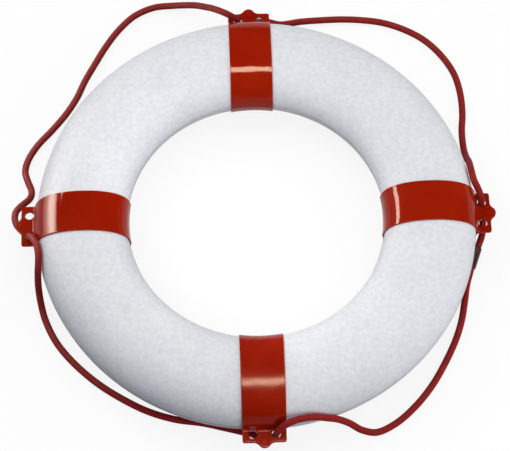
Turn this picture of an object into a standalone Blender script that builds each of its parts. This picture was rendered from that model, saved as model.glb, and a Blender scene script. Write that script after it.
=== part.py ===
"""A life ring: two moulded shell halves round a foam core, four strap clips and a grab line.

Metres, +Z up. The ring lies flat on the undersides of its straps. The origin is on the
floor under the ring's centre, and the four strap clips stand on the X and Y axes.
"""

from math import asin, atan2, ceil, copysign, cos, pi, radians, sin, sqrt

import bmesh
import bpy
from mathutils import Matrix, Vector

# Fits
FIT = 0.0003
CUT_OVER = 0.004
WELD = 0.00001

# Ring
RING_OUTER_D = 0.750
RING_HOLE_D = 0.440
RING_THICK = 0.118
SECTION_POWER = 2.2

# Shell halves and their lapped joint
SHELL_WALL = 0.0025
BEAD_OUT = 0.0008
BEAD_TALL = 0.0016
TONGUE_TALL = 0.005

# Foaming ports in the rear shell
FILL_HOLE_D = 0.0166
FILL_HEAD_D = 0.022
VENT_HOLE_D = 0.0086
VENT_HEAD_D = 0.013
PORT_HEAD_TALL = 0.0012
FILL_AT = radians(-45)
VENT_AT = radians(135)

# Strap clips
STRAP_WIDTH = 0.073
STRAP_WALL = 0.0025
EAR_REACH = 0.026
EAR_LEAF = 0.0025
EAR_CORNER_R = 0.004
EAR_ROOT_R = 0.004
BUMP_R = 0.011
BUMP_RISE = 0.0095
BUMP_FILLET_R = 0.012

# Line eyes in the ears
EYE_D = 0.015
EYE_OUT = 0.012
EYE_SPREAD = 0.039
EYE_RIM = 0.0025
EYE_RIM_TALL = 0.001

# Rivet that closes each ear from the rear
RIVET_D = 0.005
RIVET_OUT = 0.023
RIVET_HEAD_D = 0.010
RIVET_HEAD_TALL = 0.0018
RIVET_PAD_D = 0.013
RIVET_PAD_TALL = 0.001
RIVET_SKIN = 0.0008

# Grab line
LINE_D = 0.012
LINE_LEAN = radians(12)
LINE_STRAIGHT = 0.008
LINE_RUN_PER_POINT = 0.075
LINE_TURN_PER_POINT = radians(31)
SLEEVE_WALL = 0.0017
SLEEVE_LENGTH = 0.040
SLEEVE_AT = 0.098

# Fineness
RING_STEPS = 48
SECTION_STEPS = 12
LINING_STEPS = 8
EYE_SIDES = 16
RIVET_SIDES = 10
SLEEVE_SIDES = 12
CORNER_STEPS = 3
BUMP_STEPS = 5
CURVE_STEPS = 12
SHARP_EDGE = radians(35)

# Worked out from the sizes above
OUTER_R = RING_OUTER_D / 2
HOLE_R = RING_HOLE_D / 2
HALF_WIDE = (OUTER_R - HOLE_R) / 2
MIDDLE_R = (OUTER_R + HOLE_R) / 2
LAND_SHARE = cos(pi / SECTION_STEPS / 2) ** (2 / SECTION_POWER)
LINING_SHARE = cos(pi / LINING_STEPS / 2) ** (2 / SECTION_POWER)
HALF_TALL = RING_THICK / 2 / LAND_SHARE
STRAP_GROWTH = FIT + STRAP_WALL
EQUATOR_Z = (HALF_TALL + STRAP_GROWTH) * LAND_SHARE
SHELL_LAND_Z = EQUATOR_Z - RING_THICK / 2
FOAM_LAND_Z = EQUATOR_Z - (HALF_TALL - SHELL_WALL - FIT) * LINING_SHARE
STRAP_FACE_R = OUTER_R + BEAD_OUT + STRAP_GROWTH
EAR_HALF_TALL = EAR_LEAF + FIT / 2
EAR_END_R = OUTER_R + EAR_REACH
EYE_R = OUTER_R + EYE_OUT
RIVET_R = OUTER_R + RIVET_OUT
LINE_REST_Z = LINE_D / 2 + FIT

SIDES = {"far": pi / 2, "right": 0.0, "near": -pi / 2, "left": pi}

# Middle of the line between two eyes, chosen by hand: degrees round the ring, metres outside
# its edge, and height, where 0 is the line lying on the floor and 1 is level with the eyes
ROUTE_FAR_TO_RIGHT = [
    (91.7, 0.014, 0.62),
    (89.8, 0.022, 0.42),
    (87.4, 0.033, 0.27),
    (85.0, 0.038, 0.12),
    (82.0, 0.038, 0.02),
    (77.0, 0.050, 0.0),
    (72.5, 0.061, 0.0),
    (68.0, 0.074, 0.0),
    (63.5, 0.087, 0.0),
    (59.0, 0.099, 0.0),
    (54.0, 0.107, 0.0),
    (49.5, 0.110, 0.0),
    (44.5, 0.106, 0.0),
    (39.5, 0.096, 0.0),
    (35.0, 0.079, 0.0),
    (30.5, 0.058, 0.0),
    (26.5, 0.038, 0.0),
    (22.0, 0.024, 0.06),
    (18.5, 0.017, 0.34),
    (15.5, 0.011, 0.84),
    (12.5, 0.005, 1.29),
    (9.8, 0.002, 1.51),
    (7.4, 0.002, 1.55),
    (5.4, 0.006, 1.49),
    (4.3, 0.009, 1.39),
]
ROUTE_RIGHT_TO_NEAR = [
    (1.2, 0.014, 0.60),
    (-0.6, 0.016, 0.38),
    (-3.0, 0.015, 0.21),
    (-5.9, 0.009, 0.09),
    (-9.0, 0.003, 0.04),
    (-13.0, 0.0, 0.04),
    (-17.0, -0.001, 0.04),
    (-22.0, 0.004, 0.01),
    (-27.0, 0.011, 0.0),
    (-32.0, 0.017, 0.0),
    (-38.5, 0.024, 0.0),
    (-45.5, 0.033, 0.0),
    (-52.0, 0.040, 0.0),
    (-58.0, 0.044, 0.0),
    (-63.0, 0.041, 0.02),
    (-66.0, 0.029, 0.17),
    (-68.5, 0.015, 0.50),
    (-71.5, 0.009, 0.97),
    (-74.5, 0.007, 1.33),
    (-77.0, 0.004, 1.50),
    (-80.0, 0.003, 1.57),
    (-82.6, 0.004, 1.56),
    (-84.6, 0.007, 1.49),
    (-85.7, 0.010, 1.39),
]
ROUTE_NEAR_TO_LEFT = [
    (-88.5, 0.012, 0.60),
    (-90.7, 0.006, 0.39),
    (-93.0, -0.003, 0.25),
    (-96.0, -0.010, 0.09),
    (-100.0, -0.015, 0.0),
    (-106.5, -0.016, 0.0),
    (-113.5, -0.008, 0.0),
    (-121.0, -0.001, 0.0),
    (-128.5, 0.004, 0.0),
    (-136.0, 0.010, 0.0),
    (-144.0, 0.016, 0.0),
    (-151.0, 0.020, 0.0),
    (-157.5, 0.019, 0.03),
    (-161.5, 0.016, 0.28),
    (-164.5, 0.012, 0.79),
    (-166.5, 0.007, 1.26),
    (-168.8, 0.002, 1.48),
    (-170.8, 0.0, 1.56),
    (-172.8, 0.001, 1.55),
    (-174.5, 0.005, 1.49),
    (-175.7, 0.009, 1.38),
]
ROUTE_LEFT_TO_FAR = [
    (181.9, 0.014, 0.70),
    (180.8, 0.018, 0.57),
    (179.4, 0.027, 0.49),
    (177.8, 0.036, 0.45),
    (176.0, 0.041, 0.43),
    (174.2, 0.041, 0.40),
    (172.6, 0.036, 0.35),
    (171.1, 0.029, 0.28),
    (169.5, 0.023, 0.18),
    (167.8, 0.022, 0.08),
    (166.1, 0.026, 0.01),
    (164.5, 0.034, 0.0),
    (162.0, 0.045, 0.0),
    (159.0, 0.048, 0.0),
    (154.5, 0.044, 0.0),
    (149.0, 0.035, 0.0),
    (143.5, 0.032, 0.0),
    (138.5, 0.037, 0.0),
    (134.0, 0.049, 0.0),
    (129.0, 0.063, 0.0),
    (124.0, 0.080, 0.0),
    (119.5, 0.095, 0.0),
    (115.0, 0.106, 0.0),
    (110.5, 0.107, 0.0),
    (106.5, 0.098, 0.03),
    (104.0, 0.086, 0.24),
    (102.0, 0.069, 0.62),
    (100.3, 0.048, 1.08),
    (98.9, 0.034, 1.36),
    (97.2, 0.022, 1.50),
    (95.4, 0.015, 1.46),
    (94.0, 0.012, 1.32),
]


def clear_scene():
    """Remove every object that the file opened with."""
    for old in list(bpy.data.objects):
        bpy.data.objects.remove(old, do_unlink=True)


def new_collection(name):
    """Return a new collection under the scene's own."""
    made = bpy.data.collections.new(name)
    bpy.context.scene.collection.children.link(made)
    return made


def new_material(name, colour, roughness):
    """Return a plain material of one linear colour."""
    made = bpy.data.materials.new(name)
    made.use_nodes = True
    shader = made.node_tree.nodes["Principled BSDF"]
    shader.inputs["Base Color"].default_value = (*colour, 1.0)
    shader.inputs["Roughness"].default_value = roughness
    shader.inputs["Metallic"].default_value = 0.0
    return made


def new_object(name, data, collection, material=None):
    """Link a new object that holds the data."""
    made = bpy.data.objects.new(name, data)
    collection.objects.link(made)
    if material:
        data.materials.append(material)
    return made


def as_cutter(piece):
    """Mark a helper that is no part of the object."""
    piece.hide_render = True
    piece.display_type = "WIRE"
    return piece


def settled_mesh(piece, name):
    """Apply a piece's modifiers, weld and close its mesh, and return that in the piece's stead."""
    bpy.context.view_layer.update()
    source = piece.evaluated_get(bpy.context.evaluated_depsgraph_get())
    mesh = bpy.data.meshes.new_from_object(source)
    mesh.name = name
    bpy.data.objects.remove(piece, do_unlink=True)
    shape = bmesh.new()
    shape.from_mesh(mesh)
    bmesh.ops.remove_doubles(shape, verts=shape.verts, dist=WELD)
    bmesh.ops.holes_fill(shape, edges=shape.edges, sides=0)
    bmesh.ops.recalc_face_normals(shape, faces=shape.faces)
    shape.to_mesh(mesh)
    shape.free()
    mesh.shade_smooth()
    mesh.set_sharp_from_angle(angle=SHARP_EDGE)
    return mesh


def combine(piece, other, operation="DIFFERENCE"):
    """Put an exact Boolean with another solid on a piece."""
    step = piece.modifiers.new(other.name, "BOOLEAN")
    step.operation = operation
    step.solver = "EXACT"
    step.object = other


def section_point(angle, growth):
    """Return radius and height of the ring's section at an angle, grown by a distance."""
    across = copysign(abs(cos(angle)) ** (2 / SECTION_POWER), cos(angle))
    upward = copysign(abs(sin(angle)) ** (2 / SECTION_POWER), sin(angle))
    return MIDDLE_R + (HALF_WIDE + growth) * across, EQUATOR_Z + (HALF_TALL + growth) * upward


def half_arc(steps, growth, low=False):
    """Return section points from the ring's outer side to its hole, over the top or the bottom."""
    side = -1 if low else 1
    return [section_point(side * pi * (k + 0.5) / steps, growth) for k in range(steps)]


def turned(name, profile, collection, material=None, steps=RING_STEPS, sweep=2 * pi):
    """Turn a profile of (radius, height) points round the Z axis, centred on +X."""
    start = 0.0 if sweep == 2 * pi else -sweep / 2
    spots = [(r * cos(start), r * sin(start), z) for r, z in profile]
    edges = [(k, k + 1) for k in range(len(spots) - 1)]
    if profile[0][0] > 0:
        edges.append((len(spots) - 1, 0))
    mesh = bpy.data.meshes.new(name)
    mesh.from_pydata(spots, edges, [])
    piece = new_object(name, mesh, collection, material)
    screw = piece.modifiers.new("Turn", "SCREW")
    screw.axis = "Z"
    screw.angle = sweep
    screw.steps = steps
    screw.render_steps = steps
    screw.use_merge_vertices = True
    screw.merge_threshold = WELD
    return piece


def disc(name, diameter, low_z, high_z, collection, at, sides=EYE_SIDES):
    """Return an upright cylinder between two heights."""
    shape = bmesh.new()
    bmesh.ops.create_cone(
        shape,
        cap_ends=True,
        segments=sides,
        radius1=diameter / 2,
        radius2=diameter / 2,
        depth=high_z - low_z,
        matrix=Matrix.Translation((*at, (low_z + high_z) / 2)),
    )
    mesh = bpy.data.meshes.new(name)
    shape.to_mesh(mesh)
    shape.free()
    return as_cutter(new_object(name, mesh, collection))


def block(name, low, high, collection):
    """Return a box between two corners."""
    low, high = Vector(low), Vector(high)
    shape = bmesh.new()
    place = Matrix.Translation((low + high) / 2) @ Matrix.Diagonal((*(high - low), 1.0))
    bmesh.ops.create_cube(shape, size=1.0, matrix=place)
    mesh = bpy.data.meshes.new(name)
    shape.to_mesh(mesh)
    shape.free()
    return as_cutter(new_object(name, mesh, collection))


def arc(centre, radius, start, stop, steps):
    """Return points on an arc, both ends included."""
    turns = [start + (stop - start) * k / steps for k in range(steps + 1)]
    return [(centre[0] + radius * cos(turn), centre[1] + radius * sin(turn)) for turn in turns]


def prism(name, outline, half_depth, place, collection):
    """Extrude a flat outline both ways from its plane, put it in place and close it."""
    curve = bpy.data.curves.new(name, "CURVE")
    curve.dimensions = "2D"
    curve.fill_mode = "BOTH"
    curve.extrude = half_depth
    spline = curve.splines.new("POLY")
    spline.points.add(len(outline) - 1)
    for point, (x, y) in zip(spline.points, outline):
        point.co = (x, y, 0.0, 1.0)
    spline.use_cyclic_u = True
    mesh = settled_mesh(new_object(name + "_outline", curve, collection), name)
    mesh.transform(place)
    return as_cutter(new_object(name, mesh, collection))


def edge_outline(edge_r, side, low):
    """Return one edge of a shell half, from its skin to its lining, above the joint's plane.

    The edge carries half of the welded bead. The rear half ends in a tongue, and the front
    half in the rebate that laps it.
    """
    lap = (SHELL_WALL + FIT) / 2 if low else (SHELL_WALL - FIT) / 2
    lap_z = -TONGUE_TALL if low else TONGUE_TALL + FIT
    bead_r = edge_r + side * BEAD_OUT
    lap_r = edge_r - side * lap
    wall_r = edge_r - side * SHELL_WALL
    bead = [(edge_r, BEAD_TALL), (bead_r, BEAD_TALL / 2), (bead_r, FIT / 2)]
    return bead + [(lap_r, FIT / 2), (lap_r, lap_z), (wall_r, lap_z)]


def shell_profile(low):
    """Return the closed profile of a shell half: skin, outer edge, lining and hole edge."""
    skin = [(r, z - EQUATOR_Z) for r, z in half_arc(SECTION_STEPS, 0.0)]
    lining = [(r, z - EQUATOR_Z) for r, z in half_arc(LINING_STEPS, -SHELL_WALL)]
    loop = skin[::-1] + edge_outline(OUTER_R, 1, low) + lining + edge_outline(HOLE_R, -1, low)[::-1]
    if low:
        return [(r, EQUATOR_Z - z) for r, z in loop[::-1]]
    return [(r, EQUATOR_Z + z) for r, z in loop]


def whole_section(steps, growth, bead=0.0):
    """Return the whole section as a closed profile, swollen at its two edges for the bead."""
    tall = BEAD_TALL + FIT
    outer_r = OUTER_R + growth + bead
    hole_r = HOLE_R - growth - bead
    outer = [(outer_r, EQUATOR_Z + tall), (outer_r, EQUATOR_Z - tall)] if bead else []
    hole = [(hole_r, EQUATOR_Z - tall), (hole_r, EQUATOR_Z + tall)] if bead else []
    return half_arc(steps, growth)[::-1] + outer + half_arc(steps, growth, low=True) + hole


def make_shells(parts, cutters, material):
    """Make the two shell halves, the rear one with its two foaming ports."""
    turned("front_shell", shell_profile(low=False), parts, material)
    rear = turned("rear_shell", shell_profile(low=True), parts, material)
    low_z = SHELL_LAND_Z - CUT_OVER
    high_z = FOAM_LAND_Z + CUT_OVER
    for name, width, angle in (("fill", FILL_HOLE_D, FILL_AT), ("vent", VENT_HOLE_D, VENT_AT)):
        at = (MIDDLE_R * cos(angle), MIDDLE_R * sin(angle))
        combine(rear, disc(name + "_port", width, low_z, high_z, cutters, at))


def make_core(parts, material):
    """Make the foam core, which fills the shell."""
    turned("foam_core", whole_section(LINING_STEPS, -SHELL_WALL - FIT), parts, material)


def make_port_plug(name, hole_d, head_d, angle, parts, material):
    """Make the plug of one foaming port, its head under the shell and its spigot in the hole."""
    head_top = SHELL_LAND_Z - FIT
    head_low = head_top - PORT_HEAD_TALL
    tip = FOAM_LAND_Z - FIT
    spigot_r = hole_d / 2 * cos(pi / EYE_SIDES) - FIT
    head_r = head_d / 2
    bevel = PORT_HEAD_TALL / 2
    profile = [(0.0, tip), (spigot_r, tip), (spigot_r, head_top), (head_r, head_top)]
    profile += [(head_r, head_low + bevel), (head_r - bevel, head_low), (0.0, head_low)]
    plug = turned(name, profile, parts, material, EYE_SIDES)
    plug.location = (MIDDLE_R * cos(angle), MIDDLE_R * sin(angle), 0.0)


def ear_outline():
    """Return the ear seen from above: a tab with round corners and a bump on its end."""
    half = STRAP_WIDTH / 2
    bump_x = EAR_END_R + BUMP_RISE - BUMP_R
    fillet_x = EAR_END_R + BUMP_FILLET_R
    fillet_y = sqrt((BUMP_R + BUMP_FILLET_R) ** 2 - (fillet_x - bump_x) ** 2)
    meet = atan2(fillet_y, fillet_x - bump_x)
    bump = arc((bump_x, 0.0), BUMP_R, 0.0, meet, BUMP_STEPS)
    fillet = arc((fillet_x, fillet_y), BUMP_FILLET_R, pi + meet, pi, CORNER_STEPS)
    corner_spot = (EAR_END_R - EAR_CORNER_R, half - EAR_CORNER_R)
    corner = arc(corner_spot, EAR_CORNER_R, 0.0, pi / 2, CORNER_STEPS)
    side = bump + fillet[1:] + corner + [(MIDDLE_R, half)]
    return side + [(x, -y) for x, y in side[:0:-1]]


def ear_profile():
    """Return the ear seen from its side: a flat plate with a fillet where it leaves the strap."""
    root_spot = (STRAP_FACE_R + EAR_ROOT_R, EAR_HALF_TALL + EAR_ROOT_R)
    root = arc(root_spot, EAR_ROOT_R, pi, 1.5 * pi, CORNER_STEPS)
    end_x = EAR_END_R + 2 * BUMP_RISE
    upper = [(MIDDLE_R, EAR_HALF_TALL + EAR_ROOT_R)] + root + [(end_x, EAR_HALF_TALL)]
    return upper + [(x, -z) for x, z in upper[::-1]]


def make_ear(cutters):
    """Return the solid of both ear leaves, still one piece, on +X."""
    level = Matrix.Translation((0.0, 0.0, EQUATOR_Z))
    upright = level @ Matrix.Rotation(pi / 2, 4, "X")
    ear = prism("ear", ear_outline(), 2 * EAR_HALF_TALL + EAR_ROOT_R, level, cutters)
    combine(ear, prism("ear_side", ear_profile(), STRAP_WIDTH, upright, cutters), "INTERSECT")
    return ear


def swept_section(name, growth, reach, cutters):
    """Return a closed stretch of the ring's section, a number of steps to each side of +X."""
    sweep = 2 * reach * 2 * pi / RING_STEPS
    profile = whole_section(SECTION_STEPS, growth, BEAD_OUT)
    piece = turned(name, profile, cutters, None, 2 * reach, sweep)
    return as_cutter(new_object(name, settled_mesh(piece, name), cutters))


def make_strap(cutters):
    """Return the mesh of one strap clip, on +X.

    A closed band and its ear are cut out over the ring's section, and a slit at the
    equator parts the ear into the two leaves that the band's ends turn out into.
    """
    half = STRAP_WIDTH / 2
    reach = ceil(asin(half / (HOLE_R - BEAD_OUT - STRAP_GROWTH)) / (2 * pi / RING_STEPS))
    strap = swept_section("strap", STRAP_GROWTH, reach, cutters)
    far_x = EAR_END_R + 2 * BUMP_RISE
    top = EAR_HALF_TALL + EYE_RIM_TALL
    slab_low = (0.0, -half, -CUT_OVER)
    slab_high = (far_x, half, 2 * EQUATOR_Z + CUT_OVER)
    combine(strap, block("strap_slab", slab_low, slab_high, cutters), "INTERSECT")
    combine(strap, make_ear(cutters), "UNION")
    eyes = [(EYE_R, side * EYE_SPREAD / 2) for side in (-1, 1)]
    rim_d = EYE_D + 2 * EYE_RIM
    for k, at in enumerate(eyes):
        rim = disc(f"eye_rim_{k}", rim_d, EQUATOR_Z - top, EQUATOR_Z + top, cutters, at)
        combine(strap, rim, "UNION")
    pad_z = EQUATOR_Z + EAR_HALF_TALL + RIVET_PAD_TALL
    middle = (RIVET_R, 0.0)
    combine(strap, disc("rivet_pad", RIVET_PAD_D, EQUATOR_Z, pad_z, cutters, middle), "UNION")
    combine(strap, swept_section("strap_bore", FIT, reach + 1, cutters))
    slit_low = (MIDDLE_R, -STRAP_WIDTH, EQUATOR_Z - FIT / 2)
    slit_high = (far_x, STRAP_WIDTH, EQUATOR_Z + FIT / 2)
    combine(strap, block("ear_slit", slit_low, slit_high, cutters))
    for k, at in enumerate(eyes):
        reach_z = top + CUT_OVER
        combine(strap, disc(f"eye_{k}", EYE_D, EQUATOR_Z - reach_z, EQUATOR_Z + reach_z, cutters, at))
    bore_d = RIVET_D + 2 * FIT
    low_z = EQUATOR_Z - EAR_HALF_TALL - CUT_OVER
    combine(strap, disc("rivet_bore", bore_d, low_z, pad_z - RIVET_SKIN, cutters, middle, RIVET_SIDES))
    return settled_mesh(strap, "strap_clip")


def rivet_profile():
    """Return half of a rivet from its tip in the front leaf to its head behind the rear leaf."""
    head_top = EQUATOR_Z - EAR_HALF_TALL - FIT
    head_low = head_top - RIVET_HEAD_TALL
    tip = EQUATOR_Z + EAR_HALF_TALL + RIVET_PAD_TALL - RIVET_SKIN - FIT
    shank_r = RIVET_D / 2 * cos(pi / RIVET_SIDES)
    head_r = RIVET_HEAD_D / 2
    shank = [(0.0, tip), (shank_r, tip), (shank_r, head_top), (head_r, head_top)]
    return shank + [(head_r, head_top - RIVET_HEAD_TALL / 2), (head_r / 2, head_low), (0.0, head_low)]


def eye_pass(side):
    """Return the point and the direction in which the line goes down through an ear's eye.

    The line runs clockwise seen from above and uses the first eye of each ear.
    """
    angle = SIDES[side]
    outward = Vector((cos(angle), sin(angle), 0.0))
    along = Vector((sin(angle), -cos(angle), 0.0))
    spot = outward * EYE_R - along * EYE_SPREAD / 2 + Vector((0.0, 0.0, EQUATOR_Z))
    return spot, along * sin(LINE_LEAN) - Vector((0.0, 0.0, cos(LINE_LEAN)))


def route_place(degrees_round, outside, rise):
    """Return the place of one point of a route."""
    angle = radians(degrees_round)
    reach = OUTER_R + outside
    height = LINE_REST_Z + rise * (EQUATOR_Z - LINE_REST_Z)
    return Vector((reach * cos(angle), reach * sin(angle), height))


def blend(low, high, at, start, stop):
    """Return the point between two others at a knot value."""
    return low * ((stop - at) / (stop - start)) + high * ((at - start) / (stop - start))


def smooth_path(controls):
    """Return close points on a centripetal Catmull-Rom curve through all but the end controls."""
    dense = []
    for a, b, c, d in zip(controls, controls[1:], controls[2:], controls[3:]):
        t1 = sqrt((b - a).length)
        t2 = t1 + sqrt((c - b).length)
        t3 = t2 + sqrt((d - c).length)
        for k in range(CURVE_STEPS):
            t = t1 + (t2 - t1) * k / CURVE_STEPS
            ab, bc, cd = blend(a, b, t, 0.0, t1), blend(b, c, t, t1, t2), blend(c, d, t, t2, t3)
            dense.append(blend(blend(ab, bc, t, 0.0, t2), blend(bc, cd, t, t1, t3), t, t1, t2))
    return dense + [controls[-2]]


def spaced(dense):
    """Return fewer points of a path: more of them where it bends, fewer where it runs straight."""
    kept = [dense[0]]
    spent = 0.0
    for before, here, after in zip(dense, dense[1:], dense[2:]):
        run = (here - before).length
        turn = (here - before).angle(after - here, 0.0)
        spent += run / LINE_RUN_PER_POINT + turn / LINE_TURN_PER_POINT
        if spent >= 1.0:
            kept.append(here)
            spent -= 1.0
    return kept + [dense[-1]]


def line_path(start_side, stop_side, middle):
    """Return the close points of one stretch, and its two ends in the eyes."""
    start, start_way = eye_pass(start_side)
    stop, stop_way = eye_pass(stop_side)
    controls = [start, start + start_way * LINE_STRAIGHT]
    controls += [route_place(*point) for point in middle]
    controls += [stop - stop_way * LINE_STRAIGHT, stop]
    return start + start_way * FIT / 2, smooth_path(controls), stop - stop_way * FIT / 2


def make_line(name, points, parts, material):
    """Make one stretch of the grab line as a plain tube."""
    curve = bpy.data.curves.new(name, "CURVE")
    curve.dimensions = "3D"
    curve.bevel_depth = LINE_D / 2
    curve.bevel_resolution = 2
    curve.use_fill_caps = True
    spline = curve.splines.new("POLY")
    spline.points.add(len(points) - 1)
    for point, place in zip(spline.points, points):
        point.co = (*place, 1.0)
    return new_object(name, curve, parts, material)


def make_whole_stretch(start_side, stop_side, middle, parts, material):
    """Make a stretch of line that runs from ear to ear."""
    first, dense, last = line_path(start_side, stop_side, middle)
    name = f"line_{start_side}_to_{stop_side}"
    make_line(name, [first, *spaced(dense), last], parts, material)


def sleeve_profile():
    """Return the closed profile of the sleeve, its outer edges worn to a slope."""
    bore_r = (LINE_D / 2 + FIT) / cos(pi / SLEEVE_SIDES)
    outside_r = bore_r + SLEEVE_WALL
    half = SLEEVE_LENGTH / 2
    shoulder = half - SLEEVE_WALL
    return [(bore_r, half), (outside_r, shoulder), (outside_r, -shoulder), (bore_r, -half)]


def make_joined_stretch(start_side, stop_side, middle, parts, line_material, sleeve_material):
    """Make the stretch in which the line's two ends butt inside a sleeve."""
    first, dense, last = line_path(start_side, stop_side, middle)
    straight = SLEEVE_LENGTH + LINE_D / 2
    run = 0.0
    before, after = [], []
    for here, ahead in zip(dense, dense[1:]):
        if run < SLEEVE_AT - straight / 2:
            before.append(here)
        elif run > SLEEVE_AT + straight / 2:
            after.append(here)
        run += (ahead - here).length
    after.append(dense[-1])
    way = (after[0] - before[-1]).normalized()
    middle_spot = (after[0] + before[-1]) / 2
    butt = way * FIT / 2
    arriving = [first, *spaced(before), middle_spot - butt]
    leaving = [middle_spot + butt, *spaced(after), last]
    make_line(f"line_{start_side}_to_sleeve", arriving, parts, line_material)
    make_line(f"line_sleeve_to_{stop_side}", leaving, parts, line_material)
    sleeve = turned("line_sleeve", sleeve_profile(), parts, sleeve_material, SLEEVE_SIDES)
    sleeve.rotation_euler = way.to_track_quat("Z", "Y").to_euler()
    sleeve.location = middle_spot


def main():
    """Build the whole ring."""
    clear_scene()
    parts = new_collection("life_ring")
    cutters = new_collection("cutters")
    white = new_material("white_polyethylene", (0.76, 0.77, 0.80), 0.45)
    red = new_material("red_moulding", (0.35, 0.02, 0.006), 0.3)
    foam = new_material("cream_foam", (0.72, 0.62, 0.36), 0.9)
    rope = new_material("red_rope", (0.26, 0.015, 0.014), 0.75)
    dark = new_material("dark_sleeve", (0.05, 0.012, 0.012), 0.5)
    make_shells(parts, cutters, white)
    make_core(parts, foam)
    make_port_plug("fill_plug", FILL_HOLE_D, FILL_HEAD_D, FILL_AT, parts, white)
    make_port_plug("vent_plug", VENT_HOLE_D, VENT_HEAD_D, VENT_AT, parts, white)
    clip = make_strap(cutters)
    clip.materials.append(red)
    for side, angle in SIDES.items():
        strap = new_object("strap_" + side, clip, parts)
        strap.rotation_euler = (0.0, 0.0, angle)
        rivet = turned("rivet_" + side, rivet_profile(), parts, red, RIVET_SIDES)
        rivet.location = (RIVET_R * cos(angle), RIVET_R * sin(angle), 0.0)
    make_whole_stretch("far", "right", ROUTE_FAR_TO_RIGHT, parts, rope)
    make_joined_stretch("right", "near", ROUTE_RIGHT_TO_NEAR, parts, rope, dark)
    make_whole_stretch("near", "left", ROUTE_NEAR_TO_LEFT, parts, rope)
    make_whole_stretch("left", "far", ROUTE_LEFT_TO_FAR, parts, rope)


main()
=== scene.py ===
"""The dressed life ring: moulded shell halves, strap clips, rivets, plugs and a braided line.

Metres, +Z up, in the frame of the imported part: the ring lies on the floor round the origin,
and its four strap clips stand on the X and Y axes.
"""

from __future__ import annotations

import logging
from dataclasses import dataclass
from enum import Enum
from math import cos, pi, radians, sin, sqrt

import bpy
import numpy as np
from mathutils import Matrix, Vector


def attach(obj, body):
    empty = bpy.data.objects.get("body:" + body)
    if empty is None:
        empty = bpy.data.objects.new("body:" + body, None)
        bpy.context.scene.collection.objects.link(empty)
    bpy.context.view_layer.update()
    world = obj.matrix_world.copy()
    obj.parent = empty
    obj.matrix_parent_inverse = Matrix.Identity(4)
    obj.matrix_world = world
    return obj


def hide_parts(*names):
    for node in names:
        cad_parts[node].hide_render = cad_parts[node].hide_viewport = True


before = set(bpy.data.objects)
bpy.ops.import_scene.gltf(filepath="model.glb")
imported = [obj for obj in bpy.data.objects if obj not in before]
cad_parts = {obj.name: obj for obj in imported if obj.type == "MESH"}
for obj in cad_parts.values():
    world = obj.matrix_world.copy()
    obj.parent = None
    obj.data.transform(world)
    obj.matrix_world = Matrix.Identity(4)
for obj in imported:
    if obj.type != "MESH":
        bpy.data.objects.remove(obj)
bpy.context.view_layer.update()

Array = np.ndarray
Link = bpy.types.NodeSocket
log = logging.getLogger("life_ring")

BODY = "root"
MILLIMETRE = 0.001

# Radius at which a turned surface stops short of its axis, so that it stays a grid
AXIS_R = 0.00001

# Rounding of an edge that another surface hides
HIDDEN_ROUND = 0.0001

# Shortest step that still has a direction, and how level a direction must be before it has a
# level direction of its own across it
LEAST_STEP = 1e-9
LEAST_LEVEL = 0.01

# What a mesh stores for its finish: the strands' coordinates, the nearness of an edge, and
# how dull it is rubbed
PATTERN = "pattern"
EDGE = "edge"
DULL = "dull"

# Ranges of a value: all of it, nearly all of a noise, and the steeper middle of a noise
WHOLE = (0.0, 1.0)
MIDDLE = (0.30, 0.70)
STEEP = (0.35, 0.65)

# Sockets of a mix node that take and give colours
MIX_LOW = 6
MIX_HIGH = 7
MIX_RESULT = 2

# Finer layers that are laid over a noise, and their strength in a gritty one
ONE_LAYER = 1.0
TWO_LAYERS = 2.0
THREE_LAYERS = 3.0
FOUR_LAYERS = 4.0
GRITTY = 0.6

WHITE = (1.0, 1.0, 1.0)
MILD = (1.0, 0.90, 0.80)
WARM = (1.0, 0.80, 0.56)


class Side(Enum):
    """The four places of the strap clips, as angles round the ring."""

    FAR = pi / 2
    RIGHT = 0.0
    NEAR = -pi / 2
    LEFT = pi

    @property
    def word(self) -> str:
        """Return the side's plain name."""
        return self.name.lower()

    def turn(self) -> Matrix:
        """Return the turn that takes a piece from +X to this side."""
        return Matrix.Rotation(self.value, 4, "Z")


class Slot(Enum):
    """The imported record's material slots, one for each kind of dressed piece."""

    SHELL = "shell"
    STRAP = "strap"
    LINE = "line"
    SLEEVE = "sleeve"


# Middle of the line between two eyes: degrees round the ring, metres outside its edge, and
# height, where 0 is the line lying on the floor and 1 is level with the eyes
ROUTE_FAR_TO_RIGHT = [
    (91.7, 0.014, 0.62),
    (89.8, 0.022, 0.42),
    (87.4, 0.033, 0.27),
    (85.0, 0.038, 0.12),
    (82.0, 0.038, 0.02),
    (77.0, 0.050, 0.0),
    (72.5, 0.061, 0.0),
    (68.0, 0.074, 0.0),
    (63.5, 0.087, 0.0),
    (59.0, 0.099, 0.0),
    (54.0, 0.107, 0.0),
    (49.5, 0.110, 0.0),
    (44.5, 0.106, 0.0),
    (39.5, 0.096, 0.0),
    (35.0, 0.079, 0.0),
    (30.5, 0.058, 0.0),
    (26.5, 0.038, 0.0),
    (22.0, 0.024, 0.06),
    (18.5, 0.017, 0.34),
    (15.5, 0.011, 0.84),
    (12.5, 0.005, 1.29),
    (9.8, 0.002, 1.51),
    (7.4, 0.002, 1.55),
    (5.4, 0.006, 1.49),
    (4.3, 0.009, 1.39),
]
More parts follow.
